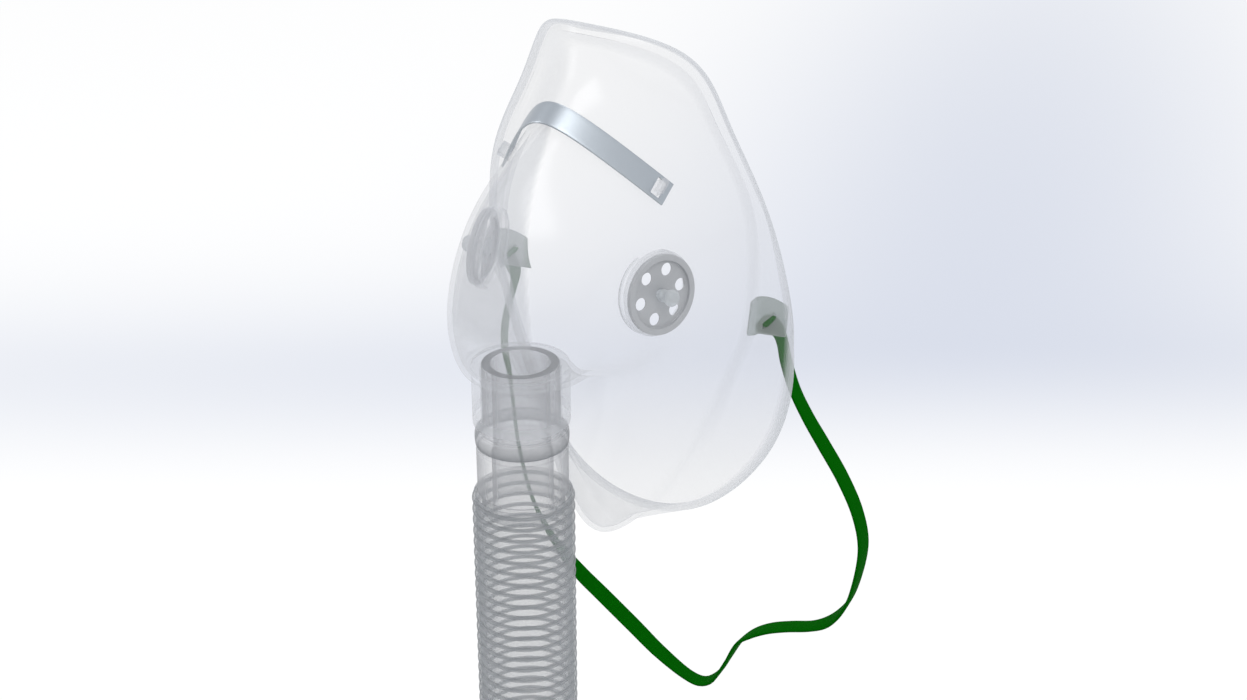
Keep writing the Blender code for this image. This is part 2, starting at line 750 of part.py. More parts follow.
def smooth_path(points, step):
    """Centripetal Catmull-Rom curve through the points, read about every step."""
    points = np.array(points, float)
    padded = np.vstack([2 * points[0] - points[1], points, 2 * points[-1] - points[-2]])
    gaps = np.sqrt(np.linalg.norm(np.diff(padded[:, :3], axis=0), axis=1))
    times = np.concatenate([[0], np.cumsum(gaps)])
    out = []
    for i in range(1, len(padded) - 2):
        t0, t1, t2, t3 = times[i - 1 : i + 3]
        p0, p1, p2, p3 = padded[i - 1 : i + 3]
        pieces = max(1, int(round(np.linalg.norm((p2 - p1)[:3]) / step)))
        for t in np.linspace(t1, t2, pieces, endpoint=False):
            a1 = (t1 - t) / (t1 - t0) * p0 + (t - t0) / (t1 - t0) * p1
            a2 = (t2 - t) / (t2 - t1) * p1 + (t - t1) / (t2 - t1) * p2
            a3 = (t3 - t) / (t3 - t2) * p2 + (t - t2) / (t3 - t2) * p3
            b1 = (t2 - t) / (t2 - t0) * a1 + (t - t0) / (t2 - t0) * a2
            b2 = (t3 - t) / (t3 - t1) * a2 + (t - t1) / (t3 - t1) * a3
            out.append((t2 - t) / (t2 - t1) * b1 + (t - t1) / (t2 - t1) * b2)
    out.append(points[-1])
    return np.array(out)


def strap_end(onward, clearance):
    """Stations of the band through the wearer's left slot and down one side of the lug.

    Onward is 1 for the side away from the mask's middle and -1 for the side towards it.
    The clearance is what the band keeps to the lug's face there.
    """
    frame = slot_frame()
    middle = frame.translation
    along = frame.col[1].to_3d()
    through = Vector((onward, 0, 0))
    down = through.cross(along)
    if down.z > 0:
        down = -down
    turn_radius = STRAP_THICKNESS / 2 + clearance
    face = LUG_THICKNESS / 2
    points = [middle - through * (face + STRAP_TAIL), middle, middle + through * face]
    centre = middle + through * face + down * turn_radius
    for turn in (30, 60, 90):
        angle = radians(turn)
        points.append(centre - down * (turn_radius * cos(angle)) + through * (turn_radius * sin(angle)))
    widths = [along.copy() for _ in points]
    return points, widths


def make_head_strap():
    """The flat elastic band, from one lug's slot round the hanging loop to the other's."""
    unit = ROW_UNIT
    route = [(x * unit, y * unit - PORT_AHEAD, z * unit, radians(turn)) for x, y, z, turn in STRAP_LOOP]
    loop = smooth_path(route, STRAP_STEP)
    points = [Vector(row[:3]) for row in loop]
    widths = []
    for i, row in enumerate(loop):
        ahead = (points[min(i + 1, len(points) - 1)] - points[max(i - 1, 0)]).normalized()
        level = ahead.cross(BACK).normalized()
        widths.append(level * cos(row[3]) + BACK * sin(row[3]))
    start_points, start_widths = strap_end(-1, STRAP_INSIDE_CLEARANCE)
    end_points, end_widths = strap_end(1, STRAP_OUTSIDE_CLEARANCE)
    far_points = [mirrored(p) for p in reversed(end_points)]
    far_widths = [mirrored(w) for w in reversed(end_widths)]
    path = start_points + points + far_points
    directions = start_widths + widths + far_widths
    for i in range(1, len(directions)):
        if directions[i].dot(directions[i - 1]) < 0:
            directions[i] = -directions[i]
    return band("head_strap", path, directions, STRAP_WIDTH, STRAP_THICKNESS, GREEN_ELASTIC)


def connector_levels():
    """Heights of the connector's shoulders below the top of the port."""
    bead_top = -(COLLAR_LENGTH + COLLAR_TAPER + GAP)
    bead_bottom = bead_top - BEAD_HEIGHT
    socket_top = bead_bottom - GROOVE_HEIGHT
    socket_bottom = socket_top - SOCKET_HEIGHT
    spigot_end = socket_bottom - SPIGOT_LENGTH
    return bead_top, bead_bottom, socket_top, socket_bottom, spigot_end


def make_connector(pivot):
    """The swivel connector: upper tube, round bead, groove, lower body and hose spigot."""
    bead_top, bead_bottom, socket_top, socket_bottom, spigot_end = connector_levels()
    bead = []
    middle = (bead_top + bead_bottom) / 2
    rise = BEAD_RADIUS - TUBE_RADIUS
    for k in range(BEAD_STEPS + 1):
        turn = pi * k / BEAD_STEPS
        reach = TUBE_RADIUS + rise * sin(turn)
        height = middle + BEAD_HEIGHT / 2 * cos(turn)
        if height < middle:
            reach = max(reach, GROOVE_RADIUS)
        bead.append((reach, height))
    profile = [
        (SOCKET_BORE, spigot_end),
        (SOCKET_BORE, socket_top),
        (TUBE_BORE, socket_top + EDGE_CHAMFER),
        (TUBE_BORE, 0),
        (TUBE_RADIUS - EDGE_CHAMFER, 0),
        (TUBE_RADIUS, -EDGE_CHAMFER),
        *bead,
        (GROOVE_RADIUS, socket_top),
        (SOCKET_RADIUS, socket_top - EDGE_CHAMFER),
        (SOCKET_RADIUS, socket_bottom),
        (SPIGOT_RADIUS, socket_bottom),
        (SPIGOT_RADIUS, spigot_end + EDGE_CHAMFER),
        (SPIGOT_RADIUS - EDGE_CHAMFER, spigot_end),
    ]
    return turned("swivel_connector", profile, TURNED_SIDES, PP_GREY, pivot)


def make_hose(pivot):
    """The ribbed hose: crests and roots outside, a smooth bore inside."""
    top = connector_levels()[3] - GAP
    bore = (SPIGOT_RADIUS + GAP) / cos(pi / HOSE_SIDES)
    outside = [(HOSE_ROOT_RADIUS, top)]
    for k in range(round(HOSE_LENGTH / HOSE_PITCH)):
        start = top - k * HOSE_PITCH
        outside.append((HOSE_CREST_RADIUS, start - HOSE_PITCH / 2))
        outside.append((HOSE_ROOT_RADIUS, start - HOSE_PITCH))
    bottom = outside[-1][1]
    profile = [(bore, bottom), (bore, top), *outside]
    return turned("corrugated_hose", profile, HOSE_SIDES, HOSE_PLASTIC, pivot)


def make_cuff(pivot):
    """The plain cuff at the hose's end: a spigot up inside the hose and a wide mouth below."""
    count = round(HOSE_LENGTH / HOSE_PITCH)
    top = connector_levels()[3] - 2 * GAP - count * HOSE_PITCH
    mouth_top = top - CUFF_LENGTH + CUFF_DEPTH
    profile = [
        (CUFF_BORE, top - CUFF_LENGTH),
        (CUFF_BORE, mouth_top),
        (CUFF_SPIGOT_BORE, mouth_top + EDGE_CHAMFER),
        (CUFF_SPIGOT_BORE, top + CUFF_SPIGOT_LENGTH),
        (SPIGOT_RADIUS, top + CUFF_SPIGOT_LENGTH),
        (SPIGOT_RADIUS, top),
        (CUFF_RADIUS - EDGE_CHAMFER, top),
        (CUFF_RADIUS, top - EDGE_CHAMFER),
        (CUFF_RADIUS, top - CUFF_LENGTH + EDGE_CHAMFER),
        (CUFF_RADIUS - EDGE_CHAMFER, top - CUFF_LENGTH),
    ]
    return turned("hose_cuff", profile, TURNED_SIDES, CUFF_PLASTIC, pivot)


def main():
    clear_scene()
    skin = mask_skin()
    make_mask(skin)
    make_nose_clip()
    for side, word in ((1, "left"), (-1, "right")):
        frame = seat_frame(skin, side)
        make_vent_disc(f"vent_disc_{word}", frame, side)
        make_vent_stud(f"vent_stud_{word}", frame)
        make_lug(f"strap_lug_{word}", side)
    make_head_strap()
    pivot = add_empty("port_axis", (0, -PORT_AHEAD, 0))
    make_connector(pivot)
    make_hose(pivot)
    make_cuff(pivot)


main()
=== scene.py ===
"""The visible pieces of a clear oxygen face mask with a swivel connector, a ribbed hose and a green strap.

Metres, +Z up the face, -Y ahead of the face, +X towards the wearer's left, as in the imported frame.
Rows of the moulding and the strap's route are given in millimetres from the port's axis.
"""
from math import cos, pi, radians, sin

import bpy
import numpy as np
from mathutils import Matrix, Vector
from mathutils.bvhtree import BVHTree


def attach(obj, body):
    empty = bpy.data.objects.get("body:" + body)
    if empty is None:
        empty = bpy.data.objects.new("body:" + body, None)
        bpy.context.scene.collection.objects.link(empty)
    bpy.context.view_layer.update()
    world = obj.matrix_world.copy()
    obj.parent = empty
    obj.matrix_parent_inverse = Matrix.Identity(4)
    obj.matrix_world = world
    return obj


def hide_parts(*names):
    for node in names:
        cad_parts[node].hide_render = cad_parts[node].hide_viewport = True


bl_info = {
    "name": "Oxygen face mask",
    "version": (1, 0, 0),
    "blender": (4, 5, 0),
    "location": "3D View > Sidebar > Face mask",
    "description": "Builds the visible pieces of a clear oxygen face mask and its stage",
    "category": "Object",
}

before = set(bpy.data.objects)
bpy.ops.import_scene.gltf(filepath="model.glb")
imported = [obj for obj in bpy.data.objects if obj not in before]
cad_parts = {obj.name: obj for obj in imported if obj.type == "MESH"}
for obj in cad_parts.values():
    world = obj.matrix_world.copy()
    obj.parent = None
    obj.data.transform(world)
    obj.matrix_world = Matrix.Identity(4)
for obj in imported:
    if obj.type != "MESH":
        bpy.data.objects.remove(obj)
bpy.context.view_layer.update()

MM = 0.001
GAP = 0.3 * MM
UP = Vector((0, 0, 1))
BACK = Vector((0, 1, 0))
SMOOTH_BELOW = radians(38)
THICKNESS_AND_SHADE = "thickness_and_shade"  # the point layer that marks a piece's thicker places and where shade is painted on it
LAMPLIGHT_HELD = 0.35  # how much of a clear skin's haze holds back the lamps' light
GLOSS_FACE_ON, GLOSS_SIDE_ON = 0.015, 0.12  # shares of the mirror on a clear skin
WEFT_SPACING = 1.4  # distance between the strap's crosswise threads, in lengthwise ones

# Rows of the moulding, from the seal's lip in to the port. Each holds the wearer's left half
# from the bridge of the nose down to the chin, in millimetres: sideways, behind the port's
# axis, above the top of the port. The other half is its mirror image.
SEAL_EDGE = (
    (0, 25.5, 73.7), (19.5, 36.6, 67.2), (29.2, 40.8, 51.8), (39.5, 42.5, 31), (44.2, 46.5, 8),
    (44, 48.5, -3), (43, 50.5, -14), (37, 52, -34), (21.5, 49.5, -53), (0, 50, -60.6),
)
FLANGE_FOLD = (
    (0, 24.9, 72.9), (18.9, 36.1, 66.3), (28.4, 40.2, 51.4), (38.4, 41.8, 31), (42.1, 42.6, 8),
    (40.5, 43.5, -2.5), (36.8, 44, -13), (31, 45, -32), (17.5, 44.5, -51.5), (0, 44.5, -61),
)
FLANGE_ROOT = (
    (0, 24.4, 72), (18.3, 35.6, 65.2), (27.6, 39.5, 51), (37, 40.8, 31), (38.6, 38.2, 8),
    (36.2, 39.2, -2.5), (31, 40, -14.5), (23.5, 40, -31), (13, 40, -49.5), (0, 40, -60.6),
)
CHEEK = (
    (0, 12.6, 55.5), (10, 19.6, 51), (19, 26, 42), (25.5, 27.5, 27), (27.5, 28, 12),
    (26.5, 28, 1), (23, 27, -10), (17, 28, -28), (9, 29, -46.5), (0, 29, -58.4),
)
SNOUT = (
    (0, -9.5, 35), (9, -5, 34), (17, 3, 29), (21, 9, 20), (22.5, 11, 9),
    (21.5, 13, 0), (16, 14, -6.5), (11, 16.5, -17), (6, 17.8, -28), (0, 18, -36),
)
SNOUT_FOOT = (
    (0, -15, 9), (9, -12.5, 9), (15.8, -6.7, 8), (19, 0, 6), (19, 5, 2),
    (16.8, 7.5, -1.5), (12.3, 11, -4.5), (8.4, 13, -7), (4.6, 14, -9), (0, 14.3, -10),
)
FLOOR = (
    (0, -13.6, -0.6), (7.6, -11.5, -0.6), (12.7, -6.8, -1.0), (15.3, -0.6, -1.5), (14.6, 4, -2.2),
    (13.2, 6.5, -2.8), (10, 9.3, -4), (6.8, 11.2, -5), (3.7, 12.3, -5.6), (0, 12.7, -5.8),
)
PORT_BEARINGS = (0, 33, 61, 86, 103, 117, 133, 149, 165, 180)  # degrees round from the front

# The strap's hanging loop between the two lugs, in millimetres as above, and the turn of its
# flat face in degrees, where 90 has the band's width along the wearer's back and forth.
STRAP_LOOP = (
    (36.3, 48.6, 0.9, 90), (36.3, 52.2, -0.6, 90), (36.6, 55.0, -3.0, 92), (37.3, 56.2, -6.4, 91),
    (38.4, 56.2, -10.8, 89), (41.2, 56.5, -18.6, 91), (45.0, 56.7, -25, 89),
    (49.3, 57.2, -31.3, 85), (55.1, 57.4, -39.3, 85), (59.3, 58.2, -48.2, 86),
    (61.0, 59, -57.4, 87), (58.9, 59.8, -70.7, 94), (56.9, 60, -76.5, 100), (54.4, 60, -80.7, 108),
    (51.4, 60, -84, 110), (46.9, 60, -86.8, 100), (40.3, 60, -89.4, 100), (34.5, 60, -92.1, 102),
    (29.6, 60, -95.4, 100), (25.7, 60, -99.3, 90), (21.9, 60, -106.8, 97), (19.6, 60, -111.3, 97),
    (17.2, 60, -114.7, 103), (13.8, 60, -116.8, 93), (9.6, 60, -116.6, 87), (0.4, 59.4, -112, 99),
    (-8, 59, -106.4, 107), (-18.7, 58.7, -99.6, 108), (-26.2, 58.5, -94.8, 102),
    (-33.9, 58, -87.6, 67), (-38.7, 57.6, -80.9, 52), (-41.9, 57.4, -74.4, 48),
    (-45.6, 57, -59.1, 50), (-47.4, 56.3, -38.6, 55), (-48.2, 55.5, -30, 68),
    (-47.6, 55, -23.2, 74), (-46.4, 55, -17.9, 76), (-44.8, 54.9, -12.6, 77), (-43.1, 54, -9, 78),
    (-41.1, 51.8, -5.1, 80), (-40.2, 48.9, -1, 86),
)

# The camera stands to the wearer's left, ahead of the mask and above it.
CAMERA_PLACE = (0.2531, -0.3712, 0.1953)
CAMERA_BEARING = radians(34.5)
CAMERA_HEIGHT = radians(25.0)
CAMERA_LENS = 57.0
CAMERA_SENSOR = 36.0


def linear(code):
    """The scene-linear red, green and blue of an sRGB hex colour."""
    parts = np.array([int(code[k : k + 2], 16) for k in (1, 3, 5)]) / 255
    return tuple(np.where(parts <= 0.04045, parts / 12.92, ((parts + 0.055) / 1.055) ** 2.4).tolist())


def length(name, description, default):
    """A length that a user may change."""
    return bpy.props.FloatProperty(name=name, description=description, default=default, unit="LENGTH", precision=5)


def colour(name, description, code):
    """A colour that a user may change."""
    return bpy.props.FloatVectorProperty(
        name=name, description=description, default=linear(code), subtype="COLOR", size=3, min=0, max=1
    )


class FaceMaskSizes(bpy.types.PropertyGroup):
    """Sizes of the mask's pieces"""

    port_ahead: length("Port ahead", "From the face seal's middle forward to the port's axis", 45 * MM)
    wall: length("Wall", "Thickness of the moulding's wall", 1.2 * MM)
    lip_bulge: length("Lip bulge", "How much thicker the seal's edge is on each side", 0.4 * MM)
    collar_radius: length("Collar radius", "Outside radius of the port's collar", 11.5 * MM)
    collar_length: length("Collar length", "From the port's top to where the collar tapers", 14.8 * MM)
    collar_taper: length("Collar taper", "Height of the collar's taper", 1.8 * MM)
    collar_end: length("Collar end", "Radius of the collar at its lower end", 10.4 * MM)
    collar_bore: length("Collar bore", "Inside radius of the collar", 9.55 * MM)
    vent_radius: length("Vent radius", "Radius of a vent disc", 9.5 * MM)
    vent_hole: length("Vent hole", "Radius of each hole in a vent disc", 1.5 * MM)
    vent_circle: length("Vent circle", "Radius of the circle that the holes stand on", 5.9 * MM)
    seat_radius: length("Seat radius", "Radius of the flat seat round a vent's opening", 10.1 * MM)
    clip_width: length("Clip width", "Width of the nose clip", 6.0 * MM)
    clip_thickness: length("Clip thickness", "Thickness of the nose clip", 0.6 * MM)
    lug_thickness: length("Lug thickness", "Thickness of a strap lug", 1.2 * MM)
    strap_width: length("Strap width", "Width of the head strap", 4.5 * MM)
    strap_thickness: length("Strap thickness", "Thickness of the head strap", 1.0 * MM)
    thread_pitch: length("Thread pitch", "Distance between the strap's lengthwise threads", 0.5 * MM)
    hose_length: length("Hose length", "Length of the ribbed hose", 150 * MM)
    hose_pitch: length("Hose pitch", "Distance between the hose's ribs", 3.0 * MM)
    hose_radius: length("Hose radius", "Radius of the hose over its ribs", 12.3 * MM)
    rib_radius: length("Rib radius", "Radius of a rib's round section", 0.45 * MM)


class FaceMaskColours(bpy.types.PropertyGroup):
    """Colours of the mask's pieces"""

    clear_pvc: colour("Clear PVC", "Pale grey that the clear moulding shows at its edges", "#D9DBDF")
    grey_plastic: colour("Grey plastic", "Grey of the vent discs", "#A7A9AC")
    connector_plastic: colour("Connector plastic", "Grey of the see-through connector", "#DADBDD")
    smoky_pvc: colour("Smoky PVC", "Grey-green of the strap's lugs", "#B2B8B6")
    hose_pvc: colour("Hose PVC", "Grey of the see-through hose", "#BCBFC2")
    cuff_eva: colour("Cuff EVA", "Grey of the hose's end cuff", "#A9ADB1")
    aluminium: colour("Aluminium", "Colour of the nose clip", "#ABB1B6")
    elastic: colour("Elastic", "Green of the strap's threads", "#005500")
    floor: colour("Floor", "Colour of the floor", "#F4F5F7")
    haze: colour("Backdrop haze", "Pale blue-grey of the far floor", "#CFD5E4")


def sizes():
    return bpy.context.scene.face_mask_sizes


def colours():
    return bpy.context.scene.face_mask_colours


# Surfaces.


def unit(vectors):
    """Each vector divided by its length."""
    return vectors / np.linalg.norm(vectors, axis=-1, keepdims=True)


def quads(rows, columns, wrap_rows=False, wrap_columns=True):
    """Corner numbers of the quads between neighbouring grid points, as one array."""
    down = np.arange(rows if wrap_rows else rows - 1)
    along = np.arange(columns if wrap_columns else columns - 1)
    i, j = np.meshgrid(down, along, indexing="ij")
    below, beside = (i + 1) % rows, (j + 1) % columns
    corners = (i * columns + j, i * columns + beside, below * columns + beside, below * columns + j)
    return np.stack(corners, axis=-1).reshape(-1, 4)


def surface(name, grid, flip=False, wrap_rows=False, wrap_columns=True, ends=False):
    """A mesh object over a grid of points, closed at its first and last row if ends is true."""
    rows, columns = grid.shape[:2]
    faces = quads(rows, columns, wrap_rows, wrap_columns)
    caps = []
    if ends:
        caps = [np.arange(columns)[::-1], (rows - 1) * columns + np.arange(columns)]
    if flip:
        faces = faces[:, ::-1]
        caps = [cap[::-1] for cap in caps]
    mesh = bpy.data.meshes.new(name)
    mesh.from_pydata(grid.reshape(-1, 3).tolist(), [], faces.tolist() + [cap.tolist() for cap in caps])
    mesh.shade_smooth()
    made = bpy.data.objects.new(name, mesh)
    bpy.context.scene.collection.objects.link(made)
    return made


def place(made, matrix):
    """Put a placing into the mesh itself, so that the object stays at the origin."""
    made.data.transform(matrix)
    if matrix.to_3x3().determinant() < 0:
        made.data.flip_normals()
    return made


def settle(made):
    """Apply the object's modifiers and mark its sharp edges."""
    shown = made.evaluated_get(bpy.context.evaluated_depsgraph_get())
    mesh = bpy.data.meshes.new_from_object(shown)
    made.modifiers.clear()
    made.data = mesh
    mesh.name = made.name
    mesh.shade_smooth()
    mesh.set_sharp_from_angle(angle=SMOOTH_BELOW)
    return made


def carve(target, tool, operation):
    """Join a closed tool to the target or cut it away, then drop the tool."""
    step = target.modifiers.new(tool.name, "BOOLEAN")
    step.operation = operation
    step.solver = "EXACT"
    step.object = tool
    settle(target)
    bpy.data.objects.remove(tool, do_unlink=True)
    return target


def eased(profile, radius, steps=4):
    """A closed outline whose corners C are rounded by (1-t)^2 A + 2t(1-t) C + t^2 B.

    A and B lie on the two edges at a corner, at most radius and just under half an edge from it.
    """
    corners = np.array(profile, float)
    ahead = np.roll(corners, -1, axis=0) - corners
    span = np.linalg.norm(ahead, axis=1)
    heading = ahead / span[:, None]
    reach = np.minimum(radius, 0.45 * np.minimum(span, np.roll(span, 1)))[:, None]
    before = corners - np.roll(heading, 1, axis=0) * reach
    after = corners + heading * reach
    t = np.linspace(0, 1, steps + 1)[None, :, None]
    curve = (1 - t) ** 2 * before[:, None] + 2 * t * (1 - t) * corners[:, None] + t**2 * after[:, None]
    return curve.reshape(-1, 2)


def turned(name, profile, sides, bored=True):
    """A solid of revolution: (r, z) of the outline carried round as (r cos a, r sin a, z).

    The outline runs down the outside; a bored one is a closed loop, a plain one is capped.
    """
    profile = np.array(profile, float)
    angle = np.arange(sides) * 2 * pi / sides
    r, z = profile[:, :1], profile[:, 1:]
    grid = np.stack([r * np.cos(angle), r * np.sin(angle), z + 0 * angle], axis=-1)
    return surface(name, grid, flip=True, wrap_rows=bored, ends=not bored)


def turned_in_place(name, profile, sides, matrix, bored=True, sharp_above=SMOOTH_BELOW):
    """A solid of revolution put in its place, with its sharp edges marked."""
    made = place(turned(name, profile, sides, bored), matrix)
    made.data.set_sharp_from_angle(angle=sharp_above)
    return made


def rounded_box(name, size, radius, matrix):
    """A block of that size about the placing's origin, its edges rounded by a bevel."""
    ring = ((-1, -1), (1, -1), (1, 1), (-1, 1))
    grid = np.array([[(x, y, z) for x, y in ring] for z in (-1, 1)]) * np.array(size) / 2
    made = place(surface(name, grid, ends=True), matrix)
    step = made.modifiers.new("Rounded edges", "BEVEL")
    step.width, step.segments, step.limit_method = radius, 4, "ANGLE"
    return settle(made)


def swept(name, path, widths, width, thickness, roundness=4.0, around=20):
    """A flat band along a path, whose section is the superellipse |x/a|^n + |y/b|^n = 1.

    x runs along each station's width direction and y along the cross product of the path's
    direction and the width. The UV map holds the metres round the section and along the path.
    """
    path, widths = np.array(path, float), np.array(widths, float)
    ahead = unit(np.gradient(path, axis=0))
    across = unit(widths - ahead * np.sum(widths * ahead, axis=1, keepdims=True))
    out = np.cross(ahead, across)
    angle = (np.arange(around) + 0.5) * 2 * pi / around
    x = np.sign(np.cos(angle)) * np.abs(np.cos(angle)) ** (2 / roundness) * width / 2
    y = np.sign(np.sin(angle)) * np.abs(np.sin(angle)) ** (2 / roundness) * thickness / 2
    grid = path[:, None] + across[:, None] * x[None, :, None] + out[:, None] * y[None, :, None]
    made = surface(name, grid, ends=True)
    run = np.concatenate([[0], np.cumsum(np.linalg.norm(np.diff(path, axis=0), axis=1))])
    corners = np.zeros(len(made.data.loops), np.int32)
    made.data.loops.foreach_get("vertex_index", corners)
    made.data.uv_layers.new(name="UVMap")
    flat = np.stack([x[corners % around], run[corners // around]], axis=-1)
    made.data.uv_layers["UVMap"].data.foreach_set("uv", flat.astype(np.float32).ravel())
    return made


# The moulding's sheet.


def whole_loop(half):
    """A row's points all the way round, in metres in the mask's frame."""
    right = np.array(half, float) * MM
    right[:, 1] -= sizes().port_ahead
    left = right[1:-1][::-1] * (-1, 1, 1)
    return np.vstack([right, left])


def cubic_weights(share):
    """The four weights of a uniform cubic B-spline at a share of its span."""
    return (
        (1 - share) ** 3 / 6,
        (3 * share**3 - 6 * share**2 + 4) / 6,
        (-3 * share**3 + 3 * share**2 + 3 * share + 1) / 6,
        share**3 / 6,
    )


def through_loop(points, stations):
    """A closed cubic B-spline whose controls are solved so that it passes through the points."""
    count = len(points)
    every = np.arange(count)
    weights = np.zeros((count, count))
    weights[every, every - 1] = 1 / 6
    weights[every, every] = 4 / 6
    weights[every, (every + 1) % count] = 1 / 6
    controls = np.linalg.solve(weights, points)
    whole = np.floor(stations).astype(int)
    share = (stations - whole)[:, None]
    return sum(w * controls[(whole + k - 1) % count] for k, w in enumerate(cubic_weights(share)))


def clamped_basis(knots, places):
    """Values of each clamped cubic B-spline at the places, by the Cox and de Boor rule."""
    inside = np.clip(np.asarray(places, float), 0, 1 - 1e-12)
    values = [((inside >= a) & (inside < b)).astype(float) for a, b in zip(knots, knots[1:])]
    for degree in (1, 2, 3):
        raised = []
        for i in range(len(values) - 1):
            rise = knots[i + degree] - knots[i]
            fall = knots[i + degree + 1] - knots[i + 1]
            value = np.zeros_like(inside)
            if rise > 0:
                value = value + (inside - knots[i]) / rise * values[i]
            if fall > 0:
                value = value + (knots[i + degree + 1] - inside) / fall * values[i + 1]
            raised.append(value)
        values = raised
    return np.array(values).T


def through_rows(rows, places):
    """A clamped cubic sheet through the rows, read at places from 0, the first, to 1, the last."""
    rows = np.array(rows)
    steps = np.sqrt(np.linalg.norm(np.diff(rows, axis=0), axis=2).mean(axis=1))
    along = np.concatenate([[0], np.cumsum(steps)])
    along /= along[-1]
    inner = [along[i : i + 3].mean() for i in range(1, len(rows) - 3)]
    knots = np.concatenate([np.zeros(4), inner, np.ones(4)])
    controls = np.linalg.solve(clamped_basis(knots, along), rows.reshape(len(rows), -1))
    return (clamped_basis(knots, places) @ controls).reshape(len(places), -1, 3)


def port_ring(radius, height, stations):
    """A level ring about the port's axis, with the moulding's columns."""
    half = np.array(PORT_BEARINGS, float)
    steps = np.concatenate([half, 360 - half[::-1][1:-1], [360]])
    turns = np.radians(np.interp(stations, np.arange(len(steps)), steps))
    ahead = -sizes().port_ahead - radius * np.cos(turns)
    return np.stack([radius * np.sin(turns), ahead, np.full(len(turns), height)], axis=1)


def flange_rows(stations, shares):
    """The sealing flange: a quadratic through its edge, fold and root at shares 0, 1/2 and 1."""
    rows = SEAL_EDGE, FLANGE_FOLD, FLANGE_ROOT
    edge, fold, root = (through_loop(whole_loop(row), stations) for row in rows)
    s = np.asarray(shares)[:, None, None]
    return edge * (1 - s) * (1 - 2 * s) + fold * 4 * s * (1 - s) + root * s * (2 * s - 1)


FLOOR_DROP = 2.2 * MM
STATIONS = 18
PER_STATION = 12
FLANGE_COUNT = 10
BODY_COUNT = 60
LIP_STEPS = 8
LIP_FADE = 5  # rows over which the lip's bulge fades
# Marks of the moulding's painted shade, as shares of the most. The flange's root and the port's
# floor, which lies at SHELF_PLACE of the body's rows, are lines of painted shade along these folds, some rows wide.
ROOT_SHADE_SHARE, SHELF_SHADE_SHARE, SHELF_PLACE, LINE_ROWS = 0.3, 0.35, 0.88, 2
# The chin's greyer columns, painted shade: how far they reach and fade, in stations, and their share.
CHIN_REACH, CHIN_FADE, CHIN_SHADE_SHARE = 3.4, 1.5, 0.22
# The snout's greyer front, painted shade over it: its reach in stations and that reach's power, where it starts and
# is full and where it ends and fades, as shares of the body's rows, and its crease's width and share.
FRONT_REACH, FRONT_POWER, FRONT_START, FRONT_FULL = 1.45, 0.8, 0.2, 0.75
FRONT_END, FRONT_FADE, FRONT_EDGE, FRONT_SHADE_SHARE = 0.74, 0.06, 0.1, 0.64
COLLAR_SHARE, COLLAR_EDGE_SHARE = 0.3, 0.8


def mask_grids():
    """Outer and inner skin of the moulding: the sheet, and the sheet less its unit normal times the wall."""
    stations = np.arange(STATIONS * PER_STATION) / PER_STATION
    rows = [through_loop(whole_loop(r), stations) for r in (FLANGE_ROOT, CHEEK, SNOUT, SNOUT_FOOT, FLOOR)]
    rows.append(port_ring(sizes().collar_radius, -FLOOR_DROP, stations))
    flange = flange_rows(stations, np.linspace(0, 1, FLANGE_COUNT)[:-1])
    outer = np.concatenate([flange, through_rows(rows, np.linspace(0, 1, BODY_COUNT))])
    around = np.roll(outer, -1, axis=1) - np.roll(outer, 1, axis=1)
    normal = unit(np.cross(np.gradient(outer, axis=0), around))
    share = np.clip(1 - np.arange(len(outer)) / LIP_FADE, 0, 1)[:, None, None]
    bulge = sizes().lip_bulge * share
    inner = outer - normal * (sizes().wall + bulge)
    inner[-1] = outer[-1] + np.array((0, 0, sizes().wall))
    outer[:-1] += (normal * bulge)[:-1]
    return outer, inner, stations


def skin_tree(outer):
    """A search tree of the outer skin, from which pieces find their seats."""
    rows, columns = outer.shape[:2]
    faces = quads(rows, columns)[:, ::-1]
    return BVHTree.FromPolygons(outer.reshape(-1, 3).tolist(), faces.tolist())


def frame_matrix(origin, x_axis, y_axis, z_axis):
    """A placing matrix from three unit axes and an origin."""
    turn = Matrix((x_axis, y_axis, z_axis)).transposed().to_4x4()
    return Matrix.Translation(origin) @ turn


def mirrored(point):
    """The same place on the wearer's other side."""
    return Vector((-point[0], point[1], point[2]))


VENT_BACK = 20.1 * MM
VENT_UP = 16.2 * MM
SEAT_PROUD = 0.75 * MM
SEAT_DEPTH = 1.6 * MM
PLUG_RADIUS = 8.4 * MM
PLUG_WALL = 0.9 * MM
PLUG_SEEN = 0.7 * MM  # how deep the plug's ring is seen
PLATE = 0.35 * MM
RIM_HEIGHT = 0.85 * MM
STUD_STAND = 1.0 * MM  # from the plate's back to the stud's neck
STUD_NECK = 2.4 * MM
STUD_SHANK = 1.0 * MM
STUD_FOOT = 2.3 * MM
RIM_WIDTH = 1.5 * MM
HOLE_COUNT = 6
HOLE_TURN = radians(9)


def seat_frame(skin, side):
    """The vent's seat: origin on the skin and +Z straight out of the cheek."""
    start = Vector((1, VENT_BACK - sizes().port_ahead, VENT_UP))
    spot, normal, _, _ = skin.ray_cast(start, Vector((-1, 0, 0)))
    across = UP.cross(normal).normalized()
    upward = normal.cross(across)
    if side < 0:
        spot, normal, upward = mirrored(spot), mirrored(normal), mirrored(upward)
        across = upward.cross(normal)
    return frame_matrix(spot, across, upward, normal)


CLIP_CREST = Vector((0, -32.9 * MM, 56.9 * MM))
CLIP_TILT = radians(37)
CLIP_REACH = 22.8 * MM
CLIP_BEND = 12.5 * MM
CLIP_SLOPE = 1.5
CLIP_STEPS = 90
PEG_PLACE = 21.2 * MM
PEG_SIZE = (1.8 * MM, 3.6 * MM)
PEG_STAND = 2.6 * MM
PEG_CLEARANCE = 0.4 * MM
CLIP_ACROSS = Vector((0, cos(CLIP_TILT), sin(CLIP_TILT)))
CLIP_FALL = Vector((0, sin(CLIP_TILT), -cos(CLIP_TILT)))


